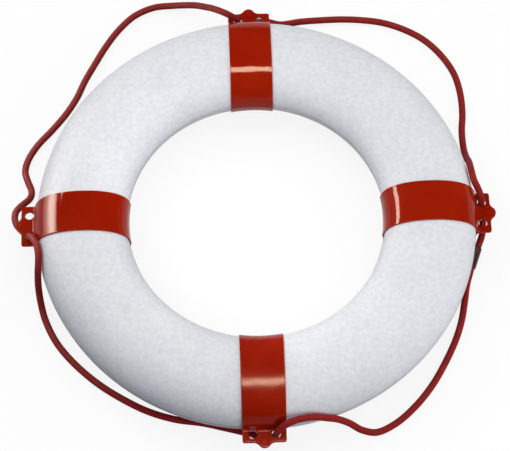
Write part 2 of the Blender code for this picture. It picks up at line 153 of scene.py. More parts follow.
ROUTE_RIGHT_TO_NEAR = [
    (1.2, 0.014, 0.60),
    (-0.6, 0.016, 0.38),
    (-3.0, 0.015, 0.21),
    (-5.9, 0.009, 0.09),
    (-9.0, 0.003, 0.04),
    (-13.0, 0.0, 0.04),
    (-17.0, -0.001, 0.04),
    (-22.0, 0.004, 0.01),
    (-27.0, 0.011, 0.0),
    (-32.0, 0.017, 0.0),
    (-38.5, 0.024, 0.0),
    (-45.5, 0.033, 0.0),
    (-52.0, 0.040, 0.0),
    (-58.0, 0.044, 0.0),
    (-63.0, 0.041, 0.02),
    (-66.0, 0.029, 0.17),
    (-68.5, 0.015, 0.50),
    (-71.5, 0.009, 0.97),
    (-74.5, 0.007, 1.33),
    (-77.0, 0.004, 1.50),
    (-80.0, 0.003, 1.57),
    (-82.6, 0.004, 1.56),
    (-84.6, 0.007, 1.49),
    (-85.7, 0.010, 1.39),
]
ROUTE_NEAR_TO_LEFT = [
    (-88.5, 0.012, 0.60),
    (-90.7, 0.006, 0.39),
    (-93.0, -0.003, 0.25),
    (-96.0, -0.010, 0.09),
    (-100.0, -0.015, 0.0),
    (-106.5, -0.016, 0.0),
    (-113.5, -0.008, 0.0),
    (-121.0, -0.001, 0.0),
    (-128.5, 0.004, 0.0),
    (-136.0, 0.010, 0.0),
    (-144.0, 0.016, 0.0),
    (-151.0, 0.020, 0.0),
    (-157.5, 0.019, 0.03),
    (-161.5, 0.016, 0.28),
    (-164.5, 0.012, 0.79),
    (-166.5, 0.007, 1.26),
    (-168.8, 0.002, 1.48),
    (-170.8, 0.0, 1.56),
    (-172.8, 0.001, 1.55),
    (-174.5, 0.005, 1.49),
    (-175.7, 0.009, 1.38),
]
ROUTE_LEFT_TO_FAR = [
    (181.9, 0.014, 0.70),
    (180.8, 0.018, 0.57),
    (179.4, 0.027, 0.49),
    (177.8, 0.036, 0.45),
    (176.0, 0.041, 0.43),
    (174.2, 0.041, 0.40),
    (172.6, 0.036, 0.35),
    (171.1, 0.029, 0.28),
    (169.5, 0.023, 0.18),
    (167.8, 0.022, 0.08),
    (166.1, 0.026, 0.01),
    (164.5, 0.034, 0.0),
    (162.0, 0.045, 0.0),
    (159.0, 0.048, 0.0),
    (154.5, 0.044, 0.0),
    (149.0, 0.035, 0.0),
    (143.5, 0.032, 0.0),
    (138.5, 0.037, 0.0),
    (134.0, 0.049, 0.0),
    (129.0, 0.063, 0.0),
    (124.0, 0.080, 0.0),
    (119.5, 0.095, 0.0),
    (115.0, 0.106, 0.0),
    (110.5, 0.107, 0.0),
    (106.5, 0.098, 0.03),
    (104.0, 0.086, 0.24),
    (102.0, 0.069, 0.62),
    (100.3, 0.048, 1.08),
    (98.9, 0.034, 1.36),
    (97.2, 0.022, 1.50),
    (95.4, 0.015, 1.46),
    (94.0, 0.012, 1.32),
]


def smoothstep(share: Array) -> Array:
    """Return 0 below 0, 1 above 1, and a smooth rise between them."""
    held = np.clip(share, 0.0, 1.0)
    return held * held * (3.0 - 2.0 * held)


def signed_power(base: Array, power: float) -> Array:
    """Return the size of each value raised to a power, with the value's own sign."""
    return np.sign(base) * np.abs(base) ** power


def turns(steps: int, shift: float = 0.0) -> Array:
    """Return angles in even steps round a full circle, shifted by a share of a step."""
    return (np.arange(steps) + shift) * 2 * pi / steps


def unit(vectors: Array) -> Array:
    """Return vectors, one a row, at a length of one."""
    return vectors / np.linalg.norm(vectors, axis=1)[:, None]


def run_along(points: Array) -> Array:
    """Return the distance along a path at each of its points."""
    return np.concatenate([[0.0], np.cumsum(np.linalg.norm(np.diff(points, axis=0), axis=1))])


def points_at(spots: Array, points: Array, run: Array) -> Array:
    """Return the points of a path at some distances along it.

    Args:
        spots: The distances.
        points: The path's points.
        run: The distance along the path at each of them.

    Returns:
        One point for each distance.
    """
    return np.stack([np.interp(spots, run, points[:, k]) for k in range(3)], axis=1)


@dataclass(frozen=True)
class RingForm:
    """The ring's own sizes, which every piece follows."""

    outer_d: float = 0.750
    hole_d: float = 0.440
    thick: float = 0.118
    power: float = 2.2
    shell_wall: float = 0.0025
    bead_out: float = 0.0008
    strap_wall: float = 0.0025
    strap_gap: float = 0.000278
    fit: float = 0.0003

    @property
    def outer_r(self) -> float:
        """Return the ring's outer radius."""
        return self.outer_d / 2

    @property
    def hole_r(self) -> float:
        """Return the radius of the ring's hole."""
        return self.hole_d / 2

    @property
    def middle_r(self) -> float:
        """Return the radius of the section's middle."""
        return (self.outer_r + self.hole_r) / 2

    @property
    def half_wide(self) -> float:
        """Return half the section's width."""
        return (self.outer_r - self.hole_r) / 2

    @property
    def half_tall(self) -> float:
        """Return half the section's height."""
        return self.thick / 2

    @property
    def equator_z(self) -> float:
        """Return the height of the joint between the shell halves."""
        return self.half_tall + self.strap_gap + self.strap_wall

    @property
    def leaf_face(self) -> float:
        """Return how far an ear leaf's outer face lies from the equator."""
        return self.fit / 2 + self.strap_wall

    def section(self, angle: Array, growth: float = 0.0) -> tuple[Array, Array]:
        """Return radius and height above the equator of the ring's section.

        Cosine and sine of the angle are each raised to two over the section's power and keep
        their sign. They scale half the width and half the height, each grown by a distance.

        Args:
            angle: Angles round the section, 0 at the ring's outer edge.
            growth: How far outside the skin the section lies.

        Returns:
            The radii from the ring's axis and the heights above the equator.
        """
        across = signed_power(np.cos(angle), 2 / self.power)
        upward = signed_power(np.sin(angle), 2 / self.power)
        radius = self.middle_r + (self.half_wide + growth) * across
        return radius, (self.half_tall + growth) * upward


RING = RingForm()


@dataclass(frozen=True)
class EarForm:
    """The eyes and the rivet of every ear: their places outside the ring's edge, and sizes."""

    eye_d: float = 0.015
    eye_out: float = 0.012
    eye_spread: float = 0.039
    rivet_out: float = 0.023


EAR = EarForm()


def quad_corners(rows: int, columns: int, close_rows: bool) -> tuple[Array, Array]:
    """Return the row and the column of the four corners of every face of a grid.

    Args:
        rows: Number of rows of points.
        columns: Number of points in each row, whose last one meets its first.
        close_rows: Whether the last row meets the first.

    Returns:
        Two arrays with four numbers a face, not yet wrapped where the grid closes.
    """
    row_steps = rows if close_rows else rows - 1
    row, column = np.meshgrid(np.arange(row_steps), np.arange(columns), indexing="ij")
    row = row.reshape(-1, 1) + np.array([0, 0, 1, 1])
    column = column.reshape(-1, 1) + np.array([0, 1, 1, 0])
    return row, column


def enclosed_volume(points: Array, quads: Array) -> float:
    """Return the volume that quads close, negative where they face inwards.

    Each quad is cut into two triangles, and each triangle adds a sixth of the product of its
    first corner with the cross product of the other two.

    Args:
        points: The mesh's points.
        quads: Four point numbers a face.

    Returns:
        The volume.
    """
    total = 0.0
    for corners in ((0, 1, 2), (0, 2, 3)):
        a, b, c = (points[quads[:, k]] for k in corners)
        total += float(np.einsum("ij,ij->i", a, np.cross(b, c)).sum()) / 6
    return total


@dataclass
class Surface:
    """A surface on a grid of points, rows by columns, that becomes a closed mesh.

    Each row closes on itself. The rows close on each other too, or end in caps.
    """

    points: Array
    close_rows: bool = False
    caps: bool = False

    def quads(self) -> tuple[Array, Array, Array]:
        """Return the corners of every face.

        Returns:
            The corners as point numbers, and their rows and columns, each with four numbers a face.
        """
        rows, columns = self.points.shape[:2]
        row, column = quad_corners(rows, columns, self.close_rows)
        if self.caps:
            first = np.arange(columns // 2 - 1)
            last = columns - 1 - first
            strip = np.stack([first, first + 1, last - 1, last], axis=1)
            row = np.vstack([row, np.zeros_like(strip), np.full_like(strip, rows - 1)])
            column = np.vstack([column, strip[:, ::-1], strip])
        return (row % rows) * columns + column % columns, row, column

    def mesh(self, name: str, uv: tuple[Array, Array] | None = None) -> bpy.types.Mesh:
        """Make the mesh, facing outwards.

        Args:
            name: The mesh's name.
            uv: Two arrays, rows + 1 by columns + 1, of the pattern's coordinates.

        Returns:
            The new mesh, with a UV map where coordinates were given.
        """
        flat = self.points.reshape(-1, 3)
        quads, row, column = self.quads()
        if enclosed_volume(flat, quads) < 0:
            quads, row, column = quads[:, ::-1], row[:, ::-1], column[:, ::-1]
        mesh = bpy.data.meshes.new(name)
        mesh.from_pydata(flat.tolist(), [], quads.tolist())
        if uv:
            layer = mesh.uv_layers.new(name=PATTERN)
            spots = np.stack([part[row, column] for part in uv], axis=-1)
            layer.data.foreach_set("uv", spots.astype(np.float32).ravel())
        mesh.shade_smooth()
        return mesh


def store(mesh: bpy.types.Mesh, name: str, values: Array) -> None:
    """Store a value at each point of a mesh, for its finish."""
    layer = mesh.attributes.new(name, "FLOAT", "POINT")
    layer.data.foreach_set("value", values.astype(np.float32).ravel())


def lathe(profile: Array, centre: tuple[float, float], steps: int) -> Surface:
    """Turn a closed profile round an upright axis.

    Each profile point (radius, height) is carried round a full circle in even steps.

    Args:
        profile: Points of radius and height, in order round the closed profile.
        centre: Where the axis stands.
        steps: Number of steps in the full circle.

    Returns:
        The turned surface.
    """
    turn = turns(steps)
    x = centre[0] + np.outer(np.cos(turn), profile[:, 0])
    y = centre[1] + np.outer(np.sin(turn), profile[:, 0])
    z = np.broadcast_to(profile[:, 1], x.shape)
    return Surface(np.stack([x, y, z], axis=-1), close_rows=True)


def rounded(corners: list[tuple[float, float, float]], steps: int = 6) -> Array:
    """Return a closed profile whose corners are rounded.

    Each corner is replaced by a quadratic curve from a point short of it to a point past it,
    whose middle control is the corner itself.

    Args:
        corners: Radius, height and rounding distance of each corner.
        steps: Number of steps round each corner.

    Returns:
        The profile's points.
    """
    spots = np.array([corner[:2] for corner in corners])
    cut = np.array([corner[2] for corner in corners])[:, None]
    back = np.roll(spots, 1, axis=0) - spots
    ahead = np.roll(spots, -1, axis=0) - spots
    start = spots + unit(back) * cut
    stop = spots + unit(ahead) * cut
    share = np.linspace(0.0, 1.0, steps + 1)[None, :, None]
    curve = (1 - share) ** 2 * start[:, None] + 2 * share * (1 - share) * spots[:, None]
    return (curve + share**2 * stop[:, None]).reshape(-1, 2)


def placed(name: str, data: bpy.types.ID) -> bpy.types.Object:
    """Put a new object in the scene.

    Args:
        name: The object's name.
        data: The mesh, lamp or camera that it shows.

    Returns:
        The object.
    """
    piece = bpy.data.objects.new(name, data)
    bpy.context.scene.collection.objects.link(piece)
    return piece


def joined(name: str, meshes: list[bpy.types.Mesh]) -> bpy.types.Mesh:
    """Join several meshes into one, in their places, and remove them.

    Args:
        name: The joined mesh's name.
        meshes: The meshes.

    Returns:
        The joined mesh.
    """
    objects = [placed(mesh.name, mesh) for mesh in meshes]
    with bpy.context.temp_override(active_object=objects[0], selected_editable_objects=objects):
        bpy.ops.object.join()
    whole = objects[0].data
    whole.name = name
    bpy.data.objects.remove(objects[0])
    return whole


def dress(
    name: str, mesh: bpy.types.Mesh, material: bpy.types.Material, slot: Slot, *nodes: str
) -> bpy.types.Object:
    """Put a mesh in the scene as a finished piece of the ring.

    Args:
        name: The piece's name.
        mesh: Its mesh, in place.
        material: Its finish.
        slot: The record's slot that the finish belongs to; it is not used.
        nodes: The CAD nodes that it stands for.

    Returns:
        The piece.
    """
    mesh.materials.clear()
    mesh.materials.append(material)
    piece = placed(name, mesh)
    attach(piece, BODY)
    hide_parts(*nodes)
    log.info("%s: %d faces, stands for %s", name, len(mesh.polygons), ", ".join(nodes))
    return piece


class NodeBook:
    """The nodes of one material or of the surroundings, added and linked one at a time."""

    def __init__(self, tree: bpy.types.NodeTree) -> None:
        """Start on a node tree."""
        self.tree = tree

    def add(self, kind: str, feeds: dict | None = None, **settings: object) -> bpy.types.Node:
        """Add a node, set its own properties and feed its inputs.

        Args:
            kind: The node's kind.
            feeds: What goes into its inputs, by socket.
            settings: Its own properties.

        Returns:
            The node.
        """
        node = self.tree.nodes.new("ShaderNode" + kind)
        for key, value in settings.items():
            setattr(node, key, value)
        for socket, value in (feeds or {}).items():
            self.feed(node, socket, value)
        return node

    def feed(self, node: bpy.types.Node, socket: str | int, value: object) -> None:
        """Link a socket to an input, or set the input to a constant.

        Args:
            node: The node that is fed.
            socket: The input's name or number.
            value: A socket of another node, or a constant.
        """
        target = node.inputs[socket]
        if isinstance(value, bpy.types.NodeSocket):
            self.tree.links.new(value, target)
        else:
            target.default_value = value

    def place(self, stretch: tuple[float, float, float] = (1.0, 1.0, 1.0)) -> Link:
        """Return the object's own coordinates, stretched."""
        feeds = {"Vector": self.add("TexCoord").outputs["Object"], "Scale": stretch}
        return self.add("Mapping", feeds).outputs["Vector"]

    def parts(self, vector: Link) -> tuple[Link, ...]:
        """Return the three parts of a vector."""
        return tuple(self.add("SeparateXYZ", {"Vector": vector}).outputs)

    def stored(self, name: str) -> Link:
        """Return what the mesh stores under a name."""
        return self.add("Attribute", attribute_name=name).outputs["Fac"]

    def noise(self, place: Link, per_metre: float, detail: float = TWO_LAYERS, rough: float = 0.5) -> Link:
        """Return cloudy noise, 0 to 1, at a number of patches a metre."""
        feeds = {"Vector": place, "Scale": per_metre, "Detail": detail, "Roughness": rough}
        return self.add("TexNoise", feeds).outputs["Fac"]

    def cells(self, place: Link, per_metre: float, soft: float = 0.6) -> Link:
        """Return the distance to the middle of soft cells, at a number of cells a metre."""
        feeds = {"Vector": place, "Scale": per_metre, "Smoothness": soft}
        return self.add("TexVoronoi", feeds, feature="SMOOTH_F1").outputs["Distance"]

    def span(self, value: Link, source: tuple, target: tuple = WHOLE) -> Link:
        """Return a value moved from one range to another and held within it."""
        feeds = dict(enumerate((value, *source, *target)))
        return self.add("MapRange", feeds).outputs["Result"]

    def sum(self, operation: str, *values: Link | float) -> Link:
        """Return the result of one arithmetic step."""
        return self.add("Math", dict(enumerate(values)), operation=operation).outputs["Value"]

    def tint(self, share: Link | float, low: tuple | Link, high: tuple | Link) -> Link:
        """Return a colour between two others.

        Args:
            share: How far the colour lies from the first towards the second.
            low: The first colour.
            high: The second colour.

        Returns:
            The colour.
        """
        node = self.add("Mix", {"Factor": share}, data_type="RGBA")
        for socket, colour in ((MIX_LOW, low), (MIX_HIGH, high)):
            self.feed(node, socket, (*colour, 1.0) if isinstance(colour, tuple) else colour)
        return node.outputs[MIX_RESULT]

    def relief(self, height: Link, depth: float, under: Link | None = None) -> Link:
        """Return the surface's direction over a relief.

        Args:
            height: The relief's height, 0 to 1.
            depth: Its depth in metres.
            under: The direction over a coarser relief that this one lies on.

        Returns:
            The direction.
        """
        feeds = {"Height": height, "Distance": depth, "Strength": 1.0}
        if under:
            feeds["Normal"] = under
        return self.add("Bump", feeds).outputs["Normal"]

    def white_share(self) -> Link:
        """Return how much of plain white a ray sees.

        Returns:
            1 for a ray from the camera, a reflection or glass, and 0 for the rest.
        """
        rays = self.add("LightPath").outputs
        mirrored = self.sum("MAXIMUM", rays["Is Glossy Ray"], rays["Is Transmission Ray"])
        return self.sum("MAXIMUM", rays["Is Camera Ray"], mirrored)

    def whitened(self, kind: str, share: Link, under: Link) -> Link:
        """Mix a shader with plain white light.

        Args:
            kind: The kind of node that shines.
            share: How much of the white shows.
            under: The shader.

        Returns:
            The mixed shader.
        """
        white = self.add(kind, {"Color": (*WHITE, 1.0), "Strength": 1.0})
        feeds = dict(enumerate((share, under, white.outputs[0])))
        return self.add("MixShader", feeds).outputs[0]


class FinishBook(NodeBook):
    """The nodes of one material round its own shader."""

    def __init__(self, name: str) -> None:
        """Start a material.

        Args:
            name: The material's name.
        """
        self.material = bpy.data.materials.new(name)
        self.material.use_nodes = True
        super().__init__(self.material.node_tree)
        self.shader = self.tree.nodes["Principled BSDF"]
        self.output = self.tree.nodes["Material Output"]

    def finish(self, **inputs: object) -> bpy.types.Material:
        """Feed the shader's inputs.

        Args:
            inputs: What goes into each input, named with _ for a space.

        Returns:
            The material.
        """
        for key, value in inputs.items():
            self.feed(self.shader, key.replace("_", " "), value)
        return self.material


@dataclass(frozen=True)
class ShellPlastic:
    """White polyethylene with the fine leathery grain of its mould."""

    pale: tuple = (0.79, 0.80, 0.83)
    shade: tuple = (0.70, 0.715, 0.76)
    patches_per_metre: float = 9.0
    blotches_per_metre: float = 130.0
    mottle_per_metre: float = 230.0
    grain_per_metre: float = 800.0
    grain_depth: float = 0.00016
    mottle_depth: float = 0.00030
    patch_share: float = 0.30
    contrast: tuple = (0.38, 0.60)
    roughness: tuple = (0.52, 0.66)
    mirror: float = 0.13

    def material(self) -> bpy.types.Material:
        """Put the finish's nodes together.

        Returns:
            The finished material.
        """
        book = FinishBook("white_polyethylene_skin")
        place = book.place()
        patches = book.noise(place, self.patches_per_metre, FOUR_LAYERS)
        mottle = book.noise(place, self.mottle_per_metre, THREE_LAYERS, GRITTY)
        blotches = book.noise(place, self.blotches_per_metre, THREE_LAYERS, GRITTY)
        slow = book.sum("MULTIPLY", patches, self.patch_share)
        quick = book.sum("MULTIPLY", blotches, 1 - self.patch_share)
        mixed = book.span(book.sum("ADD", slow, quick), self.contrast)
        colour = book.tint(mixed, self.shade, self.pale)
        rough = book.span(patches, MIDDLE, self.roughness)
        soft = book.relief(mottle, self.mottle_depth)
        grain = book.relief(book.cells(place, self.grain_per_metre), self.grain_depth, soft)
        return book.finish(
            Base_Color=colour, Roughness=rough, Normal=grain, Specular_IOR_Level=self.mirror
        )


@dataclass(frozen=True)
class StrapPlastic:
    """Glossy orange-red plastic with faint flow marks, hairline scratches and rubbed edges."""

    deep: tuple = (0.300, 0.0092, 0.0008)
    bright: tuple = (0.340, 0.0132, 0.0016)
    rubbed: tuple = (0.34, 0.022, 0.008)
    cloud_per_metre: float = 14.0
    flow_per_metre: float = 26.0
    flow_depth: float = 0.0006
    fine_per_metre: float = 900.0
    fine_depth: float = 0.00001
    rub_per_metre: float = 160.0
    rub_range: tuple = (0.42, 0.62)
    rub_roughness: float = 0.2
    scratch_per_metre: float = 420.0
    scratch_stretch: tuple = (1.0, 0.04, 0.3)
    scratch_range: tuple = (0.62, 0.75)
    scratch_roughness: float = 0.08
    roughness: tuple = (0.05, 0.10)
    dullness: float = 0.11
    mirror: float = 0.10

    def material(self) -> bpy.types.Material:
        """Put the finish's nodes together.

        Returns:
            The finished material.
        """
        book = FinishBook("glossy_red_moulding")
        place = book.place()
        cloud = book.noise(place, self.cloud_per_metre, FOUR_LAYERS)
        colour = book.tint(book.span(cloud, STEEP), self.deep, self.bright)
        spots = book.noise(place, self.rub_per_metre, THREE_LAYERS)
        worn_spots = book.span(spots, self.rub_range)
        rub = book.sum("MULTIPLY", book.stored(EDGE), worn_spots)
        colour = book.tint(rub, colour, self.rubbed)
        hairs = book.noise(book.place(self.scratch_stretch), self.scratch_per_metre)
        dull = book.stored(DULL)
        rough = book.span(cloud, MIDDLE, self.roughness)
        rough = book.sum("ADD", rough, book.sum("MULTIPLY", rub, self.rub_roughness))
        rough = book.sum("ADD", rough, book.span(hairs, self.scratch_range, (0.0, self.scratch_roughness)))
        rough = book.sum("ADD", rough, book.sum("MULTIPLY", dull, self.dullness))
        flow = book.relief(book.noise(place, self.flow_per_metre, ONE_LAYER), self.flow_depth)
        fine = book.relief(book.noise(place, self.fine_per_metre), self.fine_depth, flow)
        return book.finish(
            Base_Color=colour, Roughness=rough, Normal=fine, Specular_IOR_Level=self.mirror
        )


@dataclass(frozen=True)
class BraidFibre:
    """Crimson polypropylene fibre, plaited: its pattern lies on the strands' own coordinates."""

    deep: tuple = (0.175, 0.0052, 0.0060)
    bright: tuple = (0.350, 0.0140, 0.0130)
    worn: tuple = (0.360, 0.0230, 0.0160)
    fibres_per_strand: float = 7.0
    fibre_length: float = 1.25
    streaks_per_fibre: float = 1.0
    fibre_depth: float = 0.00012
    cloud_per_metre: float = 60.0
    worn_range: tuple = (0.50, 0.75)
    most_worn: float = 0.7
    fuzz_per_metre: float = 2600.0
    fuzz_depth: float = 0.00006
    roughness: tuple = (0.58, 0.80)
    mirror: float = 0.12
    sheen: float = 0.06
    sheen_roughness: float = 0.5

    def material(self) -> bpy.types.Material:
        """Put the finish's nodes together.

        Returns:
            The finished material.
        """
        book = FinishBook("crimson_braided_fibre")
        first, second, _ = book.parts(book.add("UVMap", uv_map=PATTERN).outputs["UV"])
        cell = book.sum("ADD", book.sum("FLOOR", first), book.sum("FLOOR", second))
        over = book.sum("MODULO", book.sum("ABSOLUTE", cell), 2.0)
        fibre_one = self.fibres(book, first, second)
        fibre_two = self.fibres(book, second, first)
        keep = book.sum("SUBTRACT", 1.0, over)
        shown_one = book.sum("MULTIPLY", fibre_one, keep)
        fibres = book.sum("ADD", shown_one, book.sum("MULTIPLY", fibre_two, over))
        place = book.place()
        cloud = book.noise(place, self.cloud_per_metre, FOUR_LAYERS)
        colour = book.tint(book.span(fibres, MIDDLE), self.deep, self.bright)
        wear = book.span(cloud, self.worn_range, (0.0, self.most_worn))
        colour = book.tint(wear, colour, self.worn)
        rough = book.span(cloud, MIDDLE, self.roughness)
        fuzz = book.relief(book.noise(place, self.fuzz_per_metre), self.fuzz_depth)
        return book.finish(
            Base_Color=colour,
            Roughness=rough,
            Normal=book.relief(fibres, self.fibre_depth, fuzz),
            Specular_IOR_Level=self.mirror,
            Sheen_Weight=self.sheen,
            Sheen_Roughness=self.sheen_roughness,
        )

    def fibres(self, book: NodeBook, across: Link, along: Link) -> Link:
        """Return streaky noise that runs along one set of strands.

        Args:
            book: The material's nodes.
            across: The coordinate across the strands.
            along: The coordinate along them.

        Returns:
            The noise, 0 to 1.
        """
        fine = book.sum("MULTIPLY", across, self.fibres_per_strand)
        long = book.sum("DIVIDE", along, self.fibre_length)
        place = book.add("CombineXYZ", {"X": fine, "Y": long}).outputs["Vector"]
        return book.noise(place, self.streaks_per_fibre, THREE_LAYERS, GRITTY)


@dataclass(frozen=True)
class SleevePlastic:
    """Dark red shrunk sleeve, slightly waxy, with lengthwise draw lines."""

    dark: tuple = (0.045, 0.006, 0.006)
    light: tuple = (0.085, 0.012, 0.011)
    cloud_per_metre: float = 300.0
    relief: float = 0.0002
    roughness: tuple = (0.35, 0.55)

    def material(self) -> bpy.types.Material:
        """Put the finish's nodes together.

        Returns:
            The finished material.
        """
        book = FinishBook("dark_shrunk_sleeve")
        place = book.place()
        cloud = book.noise(place, self.cloud_per_metre, FOUR_LAYERS)
        colour = book.tint(book.span(cloud, STEEP), self.dark, self.light)
        rough = book.span(cloud, MIDDLE, self.roughness)
        return book.finish(Base_Color=colour, Roughness=rough, Normal=book.relief(cloud, self.relief))


@dataclass(frozen=True)
class FoamCells:
    """Cream rigid foam with its cut cells."""

    pale: tuple = (0.76, 0.67, 0.42)
    dark: tuple = (0.55, 0.45, 0.24)
    cells_per_metre: float = 1400.0
    cloud_per_metre: float = 20.0
    cell_depth: float = 0.0003
    roughness: tuple = (0.85, 0.95)

    def material(self) -> bpy.types.Material:
        """Put the finish's nodes together.

        Returns:
            The finished material.
        """
        book = FinishBook("cream_rigid_foam")
        place = book.place()
        cells = book.cells(place, self.cells_per_metre)
        cloud = book.noise(place, self.cloud_per_metre, THREE_LAYERS)
        colour = book.tint(book.sum("MULTIPLY", cells, cloud), self.pale, self.dark)
        rough = book.span(cloud, MIDDLE, self.roughness)
        grain = book.relief(cells, self.cell_depth)
        return book.finish(Base_Color=colour, Roughness=rough, Normal=grain)


@dataclass
class ShellHalf:
    """One of the two moulded halves of the ring, welded to the other at the equator."""

    front: bool
    material: bpy.types.Material
    bead_tall: float = 0.0012
    unevenness: float = 0.00010
    slow_waves: int = 5
    slow_lean: int = 3
    cross_waves: int = 3
    cross_start: float = 1.0
    fine_waves: int = 11
    around_steps: int = 360
    skin_steps: int = 96
    lining_steps: int = 40

    def skin(self, angle: Array, growth: float) -> tuple[Array, Array]:
        """Return radius and height of the half's section, swollen at both edges for the bead.

        The bead stands out by its own measure times a bell curve of the height above the
        joint, outwards at the outer edge and towards the hole at the hole's edge.

        Args:
            angle: Angles round the section, from 0 to pi.
            growth: How far outside the skin the surface lies.

        Returns:
            The radii and the heights above the equator.
        """
        radius, height = RING.section(angle, growth)
        swell = RING.bead_out * np.exp(-((height / self.bead_tall) ** 2))
        if growth == 0.0:
            radius = radius + swell * np.sign(np.cos(angle))
        return radius, np.maximum(height, RING.fit / 2)

    def surface(self) -> Surface:
        """Return the half as a closed surface.

        Its profile runs over the skin and back under the lining, and is carried round the
        axis. The skin moves in and out by the product of two slow sine waves round the ring,
        which lean over the section, and by a finer wave half as deep.

        Returns:
            The surface, in place.
        """
        over = np.linspace(0.0, pi, self.skin_steps)
        back = np.linspace(pi, 0.0, self.lining_steps)
        skin_r, skin_z = self.skin(over, 0.0)
        lining_r, lining_z = self.skin(back, -RING.shell_wall)
        radius = np.concatenate([skin_r, lining_r])
        height = np.concatenate([skin_z, lining_z])
        outside = np.concatenate([np.sin(over), np.zeros_like(back)])
        angle = np.concatenate([over, back])
        turn = turns(self.around_steps)[:, None]
        slow = np.sin(self.slow_waves * turn + self.slow_lean * angle)
        slow = slow * np.sin(self.cross_waves * turn + self.cross_start)
        fine = np.sin(self.fine_waves * turn - angle) / 2
        shift = self.unevenness * (slow + fine) * outside
        radius = radius + shift * np.cos(angle)
        height = height + np.minimum(shift, 0.0) * np.sin(angle)
        z = RING.equator_z + (height if self.front else -height)
        points = np.stack([radius * np.cos(turn), radius * np.sin(turn), z], axis=-1)
        return Surface(points, close_rows=True)

    def build(self) -> bpy.types.Object:
        """Make and dress the half."""
        node = "front_shell" if self.front else "rear_shell"
        return dress(node + "_skin", self.surface().mesh(node), self.material, Slot.SHELL, node)


@dataclass
class PortPlug:
    """The pressed-in plug of a foaming port, under the rear shell."""

    node: str
    head_d: float
    angle: float
    material: bpy.types.Material
    head_tall: float = 0.0012
    rim: float = 0.0016
    dish: float = 0.0005
    seat_round: float = 0.0002
    edge_round: float = 0.0005
    dish_round: float = 0.0003
    steps: int = 72

    def build(self) -> bpy.types.Object:
        """Make and dress the plug: a round head with a raised rim and a dished middle.

        Returns:
            The plug.
        """
        top = RING.equator_z - RING.half_tall - RING.fit / 2
        low = top - self.head_tall
        head_r = self.head_d / 2
        inner_r = head_r - self.rim
        corners = [
            (AXIS_R, top, 0.0),
            (head_r, top, self.seat_round),
            (head_r, low, self.edge_round),
            (inner_r, low, self.dish_round),
            (inner_r - self.dish, low + self.dish, self.dish_round),
            (AXIS_R, low + self.dish, 0.0),
        ]
        centre = (RING.middle_r * cos(self.angle), RING.middle_r * sin(self.angle))
        mesh = lathe(rounded(corners), centre, self.steps).mesh(self.node)
        return dress(self.node + "_cap", mesh, self.material, Slot.SHELL, self.node)


